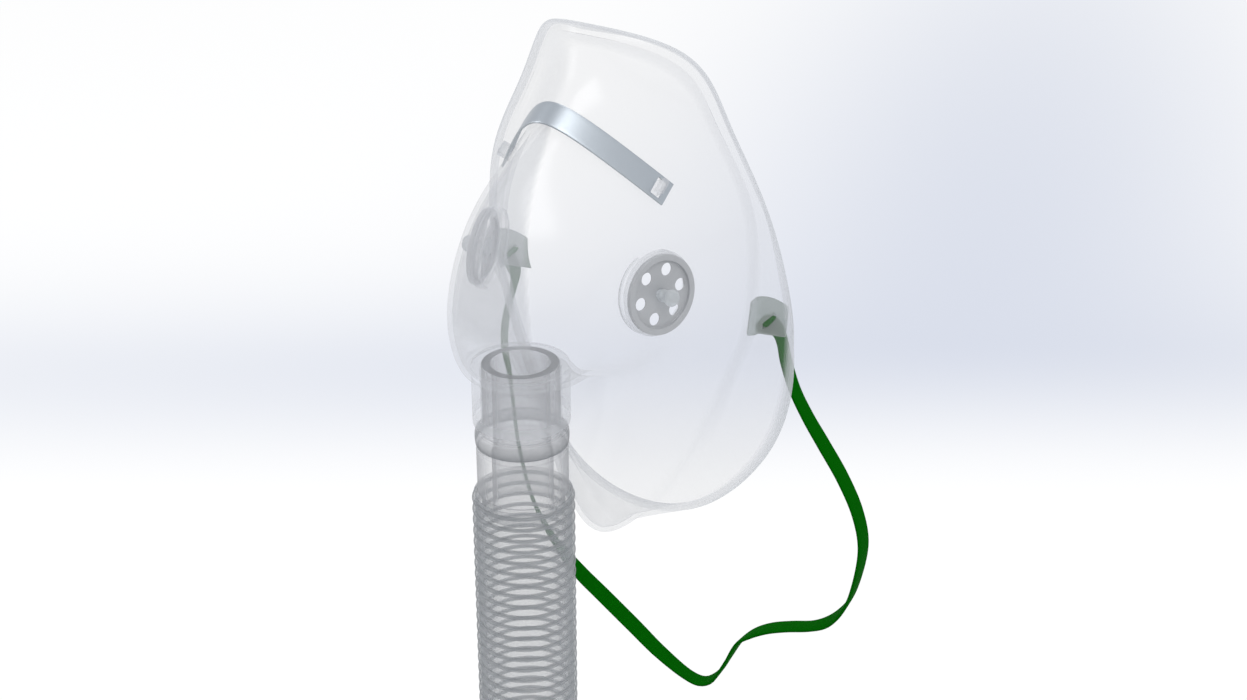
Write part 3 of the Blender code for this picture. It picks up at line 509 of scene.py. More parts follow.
def clip_points(across):
    """The clip's middle line at distances x sideways: it falls by sqrt(b^2 + (s x)^2) - b."""
    across = np.atleast_1d(across)
    drop = np.sqrt(CLIP_BEND**2 + (CLIP_SLOPE * across) ** 2) - CLIP_BEND
    sideways = np.stack([across, 0 * across, 0 * across], axis=-1)
    return np.array(CLIP_CREST) + sideways + drop[:, None] * np.array(CLIP_FALL)


def peg_frame(side):
    """The middle of the strip at a peg: +X along the strip, +Y across its width, +Z out."""
    middle, before, after = clip_points(side * PEG_PLACE + np.array((0, -MM, MM)))
    along = Vector(after - before).normalized()
    return frame_matrix(Vector(middle), along, CLIP_ACROSS, along.cross(CLIP_ACROSS))


# Materials.


def add_node(tree, kind, inputs=None, out=0, **settings):
    """Add a shader node, set its settings, set or link its inputs, and give one of its outputs."""
    made = tree.nodes.new("ShaderNode" + kind)
    for name, value in settings.items():
        setattr(made, name, value)
    for name, value in (inputs or {}).items():
        if isinstance(value, bpy.types.NodeSocket):
            tree.links.new(value, made.inputs[name])
        else:
            made.inputs[name].default_value = value
    return made.outputs[out] if made.outputs else None


def new_material(name):
    """An empty node material and its tree."""
    made = bpy.data.materials.new(name)
    made.use_nodes = True
    made.node_tree.nodes.clear()
    return made, made.node_tree


def see_through(name, shades, shares, facings, gloss, wave_mm, wave_depth_mm, passed, most_share=None):
    """A clear or tinted plastic whose skins grey towards their edges.

    Each skin lets the light through, tinted by passed, but for a share of its own haze. The
    share runs smoothly between the two shares as the skin turns from the first facing to the
    second, where 0 is face-on and 1 is side-on. If most_share is given, the share is at least
    the mark of the layer of thicker places and painted shade times it. The haze goes from the
    first shade to the second as the share rises, scatters half of its light forward and holds
    back LAMPLIGHT_HELD of its share of the lamps' light. Over that lies a weak mirror, as rough
    as gloss, that rises as the fifth power of the facing, as a clear plastic's does.
    """
    made, tree = new_material(name)
    coordinates = add_node(tree, "TexCoord", out="Object")
    scale = 1 / (wave_mm * MM)
    wave = add_node(tree, "TexNoise", {"Vector": coordinates, "Scale": scale, "Detail": 0.0}, out="Fac")
    normal = add_node(tree, "Bump", {"Height": wave, "Strength": 1.0, "Distance": wave_depth_mm * MM})
    facing = add_node(tree, "LayerWeight", {"Blend": 0.5}, out="Facing")
    limits = {"From Min": facings[0], "From Max": facings[1], "To Min": shares[0], "To Max": shares[1]}
    share = add_node(tree, "MapRange", {"Value": facing, **limits}, interpolation_type="SMOOTHSTEP")
    if most_share:
        # The layer holds thicker plastic and painted shade.
        thickness_and_shade = add_node(tree, "Attribute", out="Fac", attribute_name=THICKNESS_AND_SHADE)
        thickness_and_shade = add_node(tree, "Math", {0: thickness_and_shade, 1: most_share}, operation="MULTIPLY")
        share = add_node(tree, "Math", {0: share, 1: thickness_and_shade}, operation="MAXIMUM")
    tone = add_node(tree, "Mix", {0: share, 6: (*shades[0], 1), 7: (*shades[1], 1)}, out=2, data_type="RGBA")
    back = add_node(tree, "BsdfDiffuse", {"Color": tone})
    onward = add_node(tree, "BsdfTranslucent", {"Color": tone})
    body = add_node(tree, "MixShader", {0: 0.5, 1: back, 2: onward})
    lamp_ray = add_node(tree, "LightPath", out="Is Shadow Ray")
    held = add_node(tree, "MapRange", {"Value": lamp_ray, "To Min": 1.0, "To Max": LAMPLIGHT_HELD})
    share = add_node(tree, "Math", {0: share, 1: held}, operation="MULTIPLY")
    open_skin = add_node(tree, "BsdfTransparent", {"Color": (*passed, 1)})
    film = add_node(tree, "MixShader", {0: share, 1: open_skin, 2: body})
    rise = add_node(tree, "Math", {0: facing, 1: 5.0}, operation="POWER")
    mirror = add_node(tree, "MapRange", {"Value": rise, "To Min": GLOSS_FACE_ON, "To Max": GLOSS_SIDE_ON})
    shine = add_node(tree, "BsdfAnisotropic", {"Color": (1, 1, 1, 1), "Roughness": gloss, "Normal": normal})
    skin = add_node(tree, "MixShader", {0: mirror, 1: film, 2: shine})
    add_node(tree, "OutputMaterial", {"Surface": skin})
    return made


def mark_thickness_and_shade(made, values):
    """Store, from 0 to 1 at each of the mesh's points, how much thicker the piece is or how much shade is painted
    there.
    """
    stored = made.data.attributes.new(THICKNESS_AND_SHADE, "FLOAT", "POINT")
    stored.data.foreach_set("value", np.asarray(values, np.float32).ravel())


def solid_skin(tree, drift, shade, spread, relief, depth_mm, roughness, others):
    """A solid material: its tone drifts by spread to both sides of the shade.

    Its height follows the relief, up to depth_mm, and so does its roughness if it is a range.
    """
    dark, light = ((*(min(1, part * k) for part in shade), 1) for k in (1 - spread, 1 + spread))
    if isinstance(roughness, tuple):
        low, high = roughness
        roughness = add_node(tree, "MapRange", {"Value": relief, "To Min": low, "To Max": high})
    skin = {
        "Base Color": add_node(tree, "Mix", {0: drift, 6: dark, 7: light}, out=2, data_type="RGBA"),
        "Roughness": roughness,
        "Normal": add_node(tree, "Bump", {"Height": relief, "Strength": 1.0, "Distance": depth_mm * MM}),
    }
    add_node(tree, "OutputMaterial", {"Surface": add_node(tree, "BsdfPrincipled", {**skin, **others})})


def moulded(name, shade, roughness, grain_mm, grain_depth_mm, wave_mm, ior=1.49):
    """A moulded plastic with a fine tool grain, a slow drift of tone and a satin shine."""
    made, tree = new_material(name)
    coordinates = add_node(tree, "TexCoord", out="Object")
    grain, drift = (
        add_node(tree, "TexNoise", {"Vector": coordinates, "Scale": 1 / (size * MM), "Detail": detail}, out="Fac")
        for size, detail in ((grain_mm, 4.0), (wave_mm, 2.0))
    )
    rough = (roughness - 0.06, roughness + 0.08)
    solid_skin(tree, drift, shade, 0.05, grain, grain_depth_mm, rough, {"IOR": ior})
    return made


def clear_pvc():
    """Soft PVC, injection moulded: clear, pale grey side-on and where it is thicker, and greyed by painted shade on
    the snout's front, the chin and the folds, with a soft shine.
    """
    shades = colours().clear_pvc, linear("#D3D5D8")
    return see_through("Clear soft PVC", shades, (0.03, 0.16), (0.25, 0.8), 0.2, 14, 0.03, linear("#FCFCFC"), 0.5)


def stud_pvc():
    """Clear PVC cast in solid lumps: the small studs look milky because light scatters in them."""
    shades = linear("#ECEEEF"), linear("#C9CCCF")
    return see_through("Milky soft PVC", shades, (0.55, 0.85), (0, 1), 0.2, 3, 0.01, linear("#F6F8F9"))


def grey_polypropylene():
    """Grey polypropylene: even grey with a fine spark-eroded grain and a satin shine."""
    return moulded("Grey polypropylene", colours().grey_plastic, 0.42, 0.3, 0.012, 6)


def connector_plastic():
    """Grey see-through polycarbonate: smooth, its walls darker side-on and in the thicker bead, whose underside is
    darkened further by painted shade.
    """
    name, shades = "Grey clear polycarbonate", (colours().connector_plastic, linear("#7D8084"))
    return see_through(name, shades, (0.18, 0.55), (0.12, 0.85), 0.15, 9, 0.01, linear("#FEFEFE"), 0.9)


def smoky_pvc():
    """Smoky PVC: half clear grey-green, soft to the touch, with a dull shine."""
    shades = colours().smoky_pvc, linear("#A6ACAA")
    return see_through("Smoky soft PVC", shades, (0.45, 0.8), (0.2, 1), 0.35, 4, 0.01, linear("#F2F5F4"))


def hose_pvc():
    """Thin blown PVC: nearly clear between its ribs, grey and glossy on them."""
    name, shades = "Grey clear hose PVC", (colours().hose_pvc, linear("#9A9DA0"))
    return see_through(name, shades, (0.16, 0.6), (0.1, 0.9), 0.15, 5, 0.01, linear("#FEFEFE"), 0.7)


def cuff_eva():
    """EVA rubber, moulded: soft matt grey with a fine, even grain."""
    return moulded("Grey EVA", colours().cuff_eva, 0.55, 0.35, 0.02, 8, 1.48)


def brushed_aluminium():
    """Soft aluminium strip, rolled: pale blue-grey satin with fine lines along its length.

    The lines are about 0.3 mm apart across the strip and 17 mm long.
    """
    made, tree = new_material("Rolled aluminium")
    coordinates = add_node(tree, "TexCoord", out="Object")
    lines = add_node(tree, "Mapping", {"Vector": coordinates, "Scale": (60, 3000, 3000)})
    brushed = add_node(tree, "TexNoise", {"Vector": lines, "Scale": 1.0, "Detail": 2.0}, out="Fac")
    solid_skin(tree, brushed, colours().aluminium, 0.03, brushed, 0.003, (0.34, 0.46), {"Metallic": 1.0})
    return made


def woven_elastic():
    """Polyester elastic, woven: dark green threads along the band, crossed by the weft, and no shine.

    The height is (1 + weft) times warp, each a cosine of the metres across and along the band. The tone follows the
    height: painted shade, darker in the hollows between threads.
    """
    made, tree = new_material("Woven polyester elastic")
    flat = add_node(tree, "UVMap", uv_map="UVMap")
    pitch = sizes().thread_pitch
    waves = []
    for axis, spacing in ((0, pitch), (1, WEFT_SPACING * pitch)):
        run = add_node(tree, "SeparateXYZ", {0: flat}, out=axis)
        turns = add_node(tree, "Math", {0: run, 1: 2 * pi / spacing}, operation="MULTIPLY")
        waves.append(add_node(tree, "Math", {0: turns}, operation="COSINE"))
    over = add_node(tree, "Math", {0: waves[0], 1: waves[1]}, operation="MULTIPLY")
    woven = add_node(tree, "Math", {0: over, 1: waves[0]}, operation="ADD")
    height = add_node(tree, "MapRange", {"Value": woven, "From Min": -2.0, "From Max": 2.0})
    dull = {"IOR": 1.5, "Specular IOR Level": 0.02}
    # The tone follows the height: painted shade, darker in the hollows between threads.
    solid_skin(tree, height, colours().elastic, 0.22, height, 0.08, 0.8, dull)
    return made


def dress(made, material, body, slot, *nodes):
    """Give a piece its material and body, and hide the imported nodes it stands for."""
    made.data.materials.clear()
    made.data.materials.append(material)
    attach(made, body)
    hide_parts(*nodes)


# The pieces.


def collar_outline():
    """The collar's (r, z) outline from the port's floor down, round the end and up the bore."""
    s = sizes()
    end = -(s.collar_length + s.collar_taper)
    return [
        (s.collar_radius, -s.collar_length),
        (s.collar_end, end),
        (s.collar_bore, end),
        (s.collar_bore, 0),
        (s.collar_radius, 0),
    ]


def thickness_and_shade_marks(rows, stations):
    """Shares of 1 that mark the moulding's thicker lip and its painted shade, per grid point.

    A line of painted shade fades as 1 - (d/w)^2 with the rows d from the flange's root or the port's floor, and
    the thicker lip is the first row. The front is a strip of painted shade whose columns lie within a crease that
    widens from the bridge to the port, and painted shade greys the chin a little round its middle.
    """
    row = np.arange(rows)[:, None]
    body = np.clip((row - FLANGE_COUNT) / BODY_COUNT, 0, 1)
    shelf_row = FLANGE_COUNT + SHELF_PLACE * BODY_COUNT
    # Painted shade: grey lines along the fold at the flange's root and along the port's floor.
    root, shelf = (
        share * np.clip(1 - ((row - place_row) / LINE_ROWS) ** 2, 0, 1)
        for share, place_row in ((ROOT_SHADE_SHARE, FLANGE_COUNT - 1), (SHELF_SHADE_SHARE, shelf_row))
    )
    # Painted shade over the snout's front, inside a crease that widens towards the port.
    from_front = np.minimum(stations, STATIONS - stations)
    crease = FRONT_REACH * np.clip((body - FRONT_START) / (FRONT_FULL - FRONT_START), 0, 1) ** FRONT_POWER
    front = np.clip((crease - from_front) / FRONT_EDGE, 0, 1) * np.clip((FRONT_END - body) / FRONT_FADE, 0, 1)
    # Painted shade greying the chin round its middle, fading towards the port.
    from_chin = np.abs(stations - STATIONS / 2)
    chin = np.clip((CHIN_REACH - from_chin) / CHIN_FADE, 0, 1) * np.clip(2 - 3 * body, 0, 1)
    lines = np.maximum.reduce([row == 0, root, shelf])
    return np.maximum.reduce([lines + 0 * stations, FRONT_SHADE_SHARE * front, CHIN_SHADE_SHARE * chin])


def make_moulding():
    """The moulding: two skins, a half-round lip at the seal and the port's collar, closed as one tube."""
    s = sizes()
    outer, inner, stations = mask_grids()
    middle = (outer[0] + inner[0]) / 2
    half = (outer[0] - inner[0]) / 2
    reach = unit(outer[0] - outer[1])
    turn = np.linspace(0, pi, LIP_STEPS + 1)[1:-1, None, None]
    size = np.linalg.norm(half, axis=1, keepdims=True)
    lip = middle - half * np.cos(turn) + reach * size * np.sin(turn)
    collar = np.array([port_ring(r, z, stations) for r, z in eased(collar_outline(), 0.35 * MM, 3)])
    grid = np.concatenate([lip, outer, collar, inner[::-1]])
    made = surface("mask_moulding", grid, flip=True, wrap_rows=True)
    sheet = thickness_and_shade_marks(len(outer), stations)
    sleeve = np.full((len(collar), len(stations)), COLLAR_SHARE)
    sleeve[[0, -1]] = COLLAR_EDGE_SHARE
    # The lip and collar are marked for their thickness; the sheet also holds painted shade on the snout's front, the
    # chin and the folds.
    mark_thickness_and_shade(made, np.concatenate([np.ones(lip.shape[:2]), sheet, sleeve, sheet[::-1]]))
    skin = skin_tree(outer)
    hub, rim = 0.5 * MM, s.seat_radius
    seat_outline = [(hub, SEAT_PROUD), (rim, SEAT_PROUD), (rim, -SEAT_DEPTH), (hub, -SEAT_DEPTH)]
    for side in (1, -1):
        frame_at = seat_frame(skin, side)
        seat = turned("Vent seat", eased(seat_outline, 0.3 * MM), 96)
        carve(made, place(seat, frame_at), "UNION")
        opening = turned("Vent opening", [(PLUG_RADIUS + GAP, 6 * MM), (PLUG_RADIUS + GAP, -6 * MM)], 96, bored=False)
        carve(made, place(opening, frame_at), "DIFFERENCE")
        peg_at = peg_frame(side)
        out = peg_at.to_3x3() @ UP
        foot = skin.ray_cast(peg_at.translation, -out)[3] + s.wall / 2
        middle_at = Matrix.Translation(out * ((PEG_STAND - foot) / 2)) @ peg_at
        peg = rounded_box("Clip peg", (*PEG_SIZE, foot + PEG_STAND), 0.35 * MM, middle_at)
        carve(made, peg, "UNION")
    dress(made, clear_pvc(), "mask", "soft_pvc_clear", "mask_shell")


def make_clip():
    """The nose clip: a band along its arch, slotted for the pegs."""
    s = sizes()
    path = clip_points(np.linspace(-CLIP_REACH, CLIP_REACH, CLIP_STEPS + 1))
    widths = np.broadcast_to(np.array(CLIP_ACROSS), path.shape)
    made = swept("nose_strip", path, widths, s.clip_width, s.clip_thickness, roundness=7.0)
    slot_size = (PEG_SIZE[0] + 2 * PEG_CLEARANCE, PEG_SIZE[1] + 2 * PEG_CLEARANCE, 3 * MM)
    for side in (1, -1):
        carve(made, rounded_box("Clip slot", slot_size, 0.3 * MM, peg_frame(side)), "DIFFERENCE")
    dress(made, brushed_aluminium(), "mask", "soft_aluminium", "nose_clip")


def make_vents():
    """Both vents: a thin rimmed plate with six holes, its ring behind, and a mushroom stud."""
    s = sizes()
    outer, _, _ = mask_grids()
    skin = skin_tree(outer)
    grey, milky = grey_polypropylene(), stud_pvc()
    base = SEAT_PROUD + GAP
    top = base + PLATE
    rim = s.vent_radius - RIM_WIDTH
    outline = [
        (STUD_SHANK + GAP, base),
        (STUD_SHANK + GAP, top),
        (rim, top),
        (rim, top + RIM_HEIGHT),
        (s.vent_radius, top + RIM_HEIGHT),
        (s.vent_radius, base),
        (PLUG_RADIUS, base),
        (PLUG_RADIUS, base - PLUG_SEEN),
        (PLUG_RADIUS - PLUG_WALL, base - PLUG_SEEN),
        (PLUG_RADIUS - PLUG_WALL, base),
    ]
    ahead = base + STUD_STAND
    head = ahead + STUD_NECK
    behind = SEAT_PROUD
    stud_outline = [
        (0.3 * MM, head + 2.2 * MM),
        (1.6 * MM, head + 2.0 * MM),
        (2.1 * MM, head + 1.0 * MM),
        (1.7 * MM, head + 0.1 * MM),
        (1.5 * MM, head - 0.2 * MM),
        (1.5 * MM, ahead),
        (STUD_SHANK, ahead),
        (STUD_SHANK, behind),
        (STUD_FOOT, behind),
        (STUD_FOOT, behind - 0.8 * MM),
        (0.3 * MM, behind - 0.8 * MM),
    ]
    for side, word in ((1, "left"), (-1, "right")):
        frame_at = seat_frame(skin, side)
        disc = place(turned(f"vent_plate_{word}", eased(outline, 0.22 * MM, 4), 120), frame_at)
        for k in range(HOLE_COUNT):
            turn = side * HOLE_TURN + 2 * pi * k / HOLE_COUNT
            spot = Matrix.Translation((s.vent_circle * cos(turn), s.vent_circle * sin(turn), 0))
            hole = turned("Disc hole", [(s.vent_hole, 6 * MM), (s.vent_hole, -6 * MM)], 40, bored=False)
            carve(disc, place(hole, frame_at @ spot), "DIFFERENCE")
        dress(disc, grey, "mask", "rigid_plastic_grey", f"vent_disc_{word}")
        rounded = eased(stud_outline, 0.5 * MM, 4)[3:-1]
        stud = turned_in_place(f"vent_pin_{word}", rounded, 48, frame_at, bored=False)
        dress(stud, milky, "mask", "soft_pvc_clear", f"vent_stud_{word}")


LUG_STATIONS = (3.9, 4.66)
LUG_FOOT_SHARE = 0.2
LUG_TAB = 13.6 * MM
LUG_TAB_DROP = radians(24)
LUG_TAB_LEAN = radians(3)
LUG_ARCH = 1.6 * MM
LUG_ROWS = 13
LUG_FOOT_COLUMNS = 5
LUG_TAB_COLUMNS = 18
SLOT_PLACE = 0.36
SLOT_TILT = radians(10)
SLOT_CLEARANCE = 0.4 * MM


def lug_grid():
    """Outer and inner points of the wearer's left lug, rows from its top edge to its bottom edge.

    The foot is the flange's sheet moved inwards along its normal, and the tab runs straight on
    along one direction. The top edge is lifted by arch * sin(pi * share of the columns).
    """
    s = sizes()
    stations = np.linspace(*LUG_STATIONS, LUG_ROWS)
    shares = 1 - np.linspace(0.06, LUG_FOOT_SHARE, LUG_FOOT_COLUMNS)
    step = 0.02
    middle = flange_rows(stations, shares)
    along = flange_rows(stations, shares + step) - flange_rows(stations, shares - step)
    down = flange_rows(stations + step, shares) - flange_rows(stations - step, shares)
    normal = unit(np.cross(along, down))
    clear = s.wall + s.lip_bulge / 2 + GAP
    near = middle - normal * clear
    far = middle - normal * (clear + s.lug_thickness)
    tab = np.array((sin(LUG_TAB_LEAN), cos(LUG_TAB_DROP), -sin(LUG_TAB_DROP)))
    run = (LUG_TAB * np.arange(1, LUG_TAB_COLUMNS + 1) / LUG_TAB_COLUMNS)[:, None, None] * tab
    near = np.concatenate([near, far[-1] + np.array((s.lug_thickness, 0, 0)) + run])
    far = np.concatenate([far, far[-1] + run])
    foot, tab_run = np.linspace(0, 0.25, LUG_FOOT_COLUMNS), np.linspace(0.25, 1, LUG_TAB_COLUMNS + 1)
    arch = np.sin(pi * np.concatenate([foot, tab_run[1:]]))
    lift = LUG_ARCH * arch[:, None] * np.linspace(1, 0, LUG_ROWS)[None, :]
    near[:, :, 2] += lift
    far[:, :, 2] += lift
    return near, far


def slot_frame():
    """The strap's slot in the wearer's left lug: +Y along the slot and +X through the tab."""
    near, far = lug_grid()
    spot = LUG_FOOT_COLUMNS - 1 + SLOT_PLACE * LUG_TAB_COLUMNS
    low, share, row = int(spot), spot - int(spot), LUG_ROWS // 2
    edge = (near + far)[:, row] / 2
    middle = Vector(edge[low] * (1 - share) + edge[low + 1] * share)
    along = Vector((0, cos(SLOT_TILT), sin(SLOT_TILT)))
    through = Vector((1, 0, 0))
    return frame_matrix(middle, through, along, through.cross(along))


MIRROR = Matrix.Diagonal((-1, 1, 1, 1))


def make_lugs():
    """Both strap lugs: a foot that follows the flange, a tab behind it and a slanted slot for the strap."""
    s = sizes()
    smoky = smoky_pvc()
    near, far = lug_grid()
    for side, word in ((1, "left"), (-1, "right")):
        grid = np.concatenate([near, far[:, ::-1]], axis=1)
        made = surface(f"strap_tab_{word}", grid, ends=True)
        step = made.modifiers.new("Rounded edges", "BEVEL")
        step.width, step.segments, step.limit_method, step.angle_limit = 0.25 * MM, 3, "ANGLE", radians(50)
        settle(made)
        slot = s.strap_width + 2 * SLOT_CLEARANCE, s.strap_thickness + 2 * SLOT_CLEARANCE
        carve(made, rounded_box("Strap slot", (8 * s.lug_thickness, *slot), 0.3 * MM, slot_frame()), "DIFFERENCE")
        if side < 0:
            place(made, MIRROR)
        dress(made, smoky, "mask", "soft_pvc_smoky", f"strap_lug_{word}")


def on_line(t, start, stop, a, b):
    """Straight from a at start to b at stop."""
    return (stop - t) / (stop - start) * a + (t - start) / (stop - start) * b


def catmull_rom(points, step):
    """The centripetal Catmull-Rom curve through the points, read about every step."""
    points = np.array(points, float)
    padded = np.vstack([2 * points[0] - points[1], points, 2 * points[-1] - points[-2]])
    times = np.concatenate([[0], np.cumsum(np.sqrt(np.linalg.norm(np.diff(padded[:, :3], axis=0), axis=1)))])
    out = []
    for i in range(1, len(padded) - 2):
        t0, t1, t2, t3 = times[i - 1 : i + 3]
        p0, p1, p2, p3 = padded[i - 1 : i + 3]
        count = max(1, int(round(np.linalg.norm((p2 - p1)[:3]) / step)))
        t = np.linspace(t1, t2, count, endpoint=False)[:, None]
        a1, a2, a3 = on_line(t, t0, t1, p0, p1), on_line(t, t1, t2, p1, p2), on_line(t, t2, t3, p2, p3)
        out.append(on_line(t, t1, t2, on_line(t, t0, t2, a1, a2), on_line(t, t1, t3, a2, a3)))
    return np.vstack([*out, points[-1:]])


STRAP_STEP = 1.2 * MM
STRAP_TAIL = 0.5 * MM
STRAP_INSIDE_CLEARANCE = 0.7 * MM
STRAP_OUTSIDE_CLEARANCE = 0.4 * MM


def strap_end(onward, clearance):
    """Stations of the band through the wearer's left slot and a quarter turn down one face of the lug.

    Onward is 1 for the side away from the mask's middle and -1 for the side towards it.
    """
    s = sizes()
    at = slot_frame()
    middle, along, through = at.translation, at.col[1].to_3d(), Vector((onward, 0, 0))
    down = through.cross(along)
    down = -down if down.z > 0 else down
    turn_radius = s.strap_thickness / 2 + clearance
    face = s.lug_thickness / 2
    points = [middle - through * (face + STRAP_TAIL), middle, middle + through * face]
    centre = middle + through * face + down * turn_radius
    points += [
        centre - down * (turn_radius * cos(radians(turn))) + through * (turn_radius * sin(radians(turn)))
        for turn in (20, 40, 60, 75, 90)
    ]
    return np.array(points), np.array([along] * len(points))


def strap_route():
    """The band's middle line from slot to slot and its width directions."""
    route = np.array(STRAP_LOOP, float) * (MM, MM, MM, radians(1))
    route[:, 1] -= sizes().port_ahead
    loop = catmull_rom(route, STRAP_STEP)
    points = loop[:, :3]
    level = unit(np.cross(np.gradient(points, axis=0), np.array(BACK)))
    turn = loop[:, 3:]
    widths = level * np.cos(turn) + np.array(BACK) * np.sin(turn)
    start_points, start_widths = strap_end(-1, STRAP_INSIDE_CLEARANCE)
    end_points, end_widths = strap_end(1, STRAP_OUTSIDE_CLEARANCE)
    path = np.concatenate([start_points, points, (end_points * (-1, 1, 1))[::-1]])
    widths = np.concatenate([start_widths, widths, (end_widths * (-1, 1, 1))[::-1]])
    turned_over = np.cumprod(np.sign(np.concatenate([[1.0], np.sum(widths[1:] * widths[:-1], axis=1)])))
    return path, widths * turned_over[:, None]


def make_strap():
    """The head strap: one flat elastic band from slot to slot, hanging in a loose loop."""
    s = sizes()
    path, widths = strap_route()
    made = swept("elastic_strap", path, widths, s.strap_width, s.strap_thickness)
    dress(made, woven_elastic(), "mask", "green_elastic", "head_strap")
    route = path[:: max(1, len(path) // 60)]
    route = np.vstack([route, path[-1:]])


# Radii of the connector: its upper tube, that tube's bore, the bore below the bead, the groove
# under the bead, the 22 mm body, the hose's spigot and the bead at its edges and its middle.
TUBE, BORE, LOWER_BORE, GROOVE, LOWER_BODY, SPIGOT = (r * MM for r in (9.2, 6.8, 7.3, 10.3, 10.9, 9.9))
BEAD_EDGE, BEAD_MIDDLE = 11.0 * MM, 11.2 * MM
# How far each corner of the connector's outline is rounded, in its outline's order, in millimetres.
CONNECTOR_ROUNDING = (0.3, 0.3, 0.3, 0.5, 0.5, 0.2, 1.5, 1.5, 1.5, 0.3, 0.3, 0.6, 0.5, 0.3, 0.5)
BEAD_FLATTER = 1.1 * MM  # how much flatter the bead is seen than the solid's
BODY_THICK, TOP_THICK = 0.27, 0.9  # marks of the lower body and of the tube's top face


def levels():
    """Heights of the bead's top and foot, the body's top and foot and the spigot's end, from the port's top."""
    s = sizes()
    bead_top = -(s.collar_length + s.collar_taper + GAP)
    bead_foot = bead_top - 4.6 * MM
    body_top = bead_foot - 1.4 * MM
    body_foot = body_top - 10.4 * MM
    return bead_top, bead_foot, body_top, body_foot, body_foot - 5.2 * MM


def on_port():
    """The placing of the port's axis, about which the swivel's pieces are turned."""
    return Matrix.Translation((0, -sizes().port_ahead, 0))


def make_connector():
    """The swivel connector: upper tube, round bead, groove, lower body and hose spigot.

    The top face, the bead and the body are marked for their thickness, and the bead's mark grows downwards as painted
    shade on its underside.
    """
    bead_top, solid_foot, step, body_foot, spigot_end = levels()
    bead_foot, shoulder = solid_foot + BEAD_FLATTER, step + BEAD_FLATTER
    outline = [
        (LOWER_BORE, spigot_end),
        (LOWER_BORE, step),
        (BORE, step + 0.5 * MM),
        (BORE, 0),
        (TUBE, 0),
        (TUBE, bead_top),
        (BEAD_EDGE, bead_top + 0.2 * MM),
        (BEAD_MIDDLE, (bead_top + bead_foot) / 2),
        (BEAD_EDGE, bead_foot - 0.1 * MM),
        (GROOVE, bead_foot - 0.1 * MM),
        (GROOVE, shoulder),
        (LOWER_BODY, shoulder),
        (LOWER_BODY, body_foot),
        (SPIGOT, body_foot),
        (SPIGOT, spigot_end),
    ]
    profile = eased(outline, np.array(CONNECTOR_ROUNDING) * MM, 6)
    r, z = profile.T
    made = turned_in_place("swivel_tube", profile, 128, on_port())
    in_bead = (z < bead_top + 0.1 * MM) & (z > bead_foot - 0.05 * MM) & (r > TUBE + 0.3 * MM)
    # Half of the bead's mark is for its thickness; the rest grows towards its foot as painted shade on its underside.
    bead = (0.5 + 0.5 * (bead_top - z) / (bead_top - bead_foot)) * in_bead
    top = TOP_THICK * ((z > -0.1 * MM) & (r > BORE))
    mark_thickness_and_shade(made, np.repeat(np.maximum.reduce([bead, top, BODY_THICK * (z < shoulder)]), 128))
    dress(made, connector_plastic(), "swivel", "rigid_plastic_grey", "swivel_connector")


HOSE_SKIN = 0.35 * MM
RIB_DENT = 0.35  # how deep the hose's inside follows a rib, as a share of the rib's radius
RIB_THICK = 0.3  # the height on a rib, as a share of its radius, above which it is marked for its thickness
CUFF_LENGTH = 22 * MM
# Radii of the cuff: its mouth, the bore behind it, the pocket for the hose's end and the outside.
CUFF_MOUTH, CUFF_BORE, CUFF_POCKET, CUFF_OUTSIDE = (r * MM for r in (11.0, 8.6, 9.9, 13.0))


def make_hose():
    """The ribbed hose and its cuff.

    The hose's outside is a thin film with round ribs: r = film + sqrt(a^2 - d^2) near each rib,
    with d the height from the rib's middle. The inside follows it one film thickness within.
    """
    s = sizes()
    top = levels()[3] - GAP
    count = round(s.hose_length / s.hose_pitch)
    foot = top - count * s.hose_pitch
    film = s.hose_radius - s.rib_radius
    angle = np.linspace(0, pi, 9)
    starts = top - s.hose_pitch * (np.arange(count) + 0.5)
    z = np.r_[top, (starts[:, None] + s.rib_radius * np.cos(angle)).ravel(), foot]
    rise = np.tile(np.sin(angle), count)
    outer = np.stack([film + s.rib_radius * np.r_[0, rise, 0], z], axis=1)
    inner = np.stack([film - HOSE_SKIN - RIB_DENT * s.rib_radius * np.r_[0, rise, 0], z], axis=1)
    profile = np.concatenate([outer, inner[::-1]])
    made = turned_in_place("ribbed_hose", profile, 96, on_port(), sharp_above=radians(60))
    on_rib = np.r_[0, rise > RIB_THICK, 0]
    mark_thickness_and_shade(made, np.repeat(np.r_[on_rib, on_rib[::-1]], 96))
    dress(made, hose_pvc(), "swivel", "hose_pvc_grey", "corrugated_hose")
    bottom = foot - GAP
    outline = [
        (CUFF_MOUTH, bottom - CUFF_LENGTH),
        (CUFF_MOUTH, bottom - 4 * MM),
        (CUFF_BORE, bottom - 3.5 * MM),
        (CUFF_BORE, bottom + 6 * MM),
        (CUFF_POCKET, bottom + 6 * MM),
        (CUFF_POCKET, bottom),
        (CUFF_OUTSIDE, bottom),
        (CUFF_OUTSIDE, bottom - CUFF_LENGTH),
    ]
    cuff = turned_in_place("end_cuff", eased(outline, 0.8 * MM, 5), 96, on_port())
    dress(cuff, cuff_eva(), "swivel", "cuff_eva_grey", "hose_cuff")


STAGE_HEIGHT = -0.24
STAGE_REACH = 6.0
# Pale blue-grey clouds on the floor: middle, turn, reach in metres across and along, and most share.
FLOOR_HAZE = (
    ((-0.115, 0.469, STAGE_HEIGHT), 0.36, (0.202, 1.071, 1), 0.9),
    ((-0.19, 0.308, STAGE_HEIGHT), 0.602, (0.695, 0.173, 1), 1.0),
)
# Where the clouds begin and are full: metres behind the mask, in a direction turned that far from +Y.
HAZE_EDGE, HAZE_EDGE_TURN = (0.3107, 0.5007), radians(34.5)
FLOOR_GLOW = 1.03  # brightness of the floor that is seen straight
FLOOR_GLOW_SHARE = 0.85  # the rest of it stays paint, which takes the object's shadow


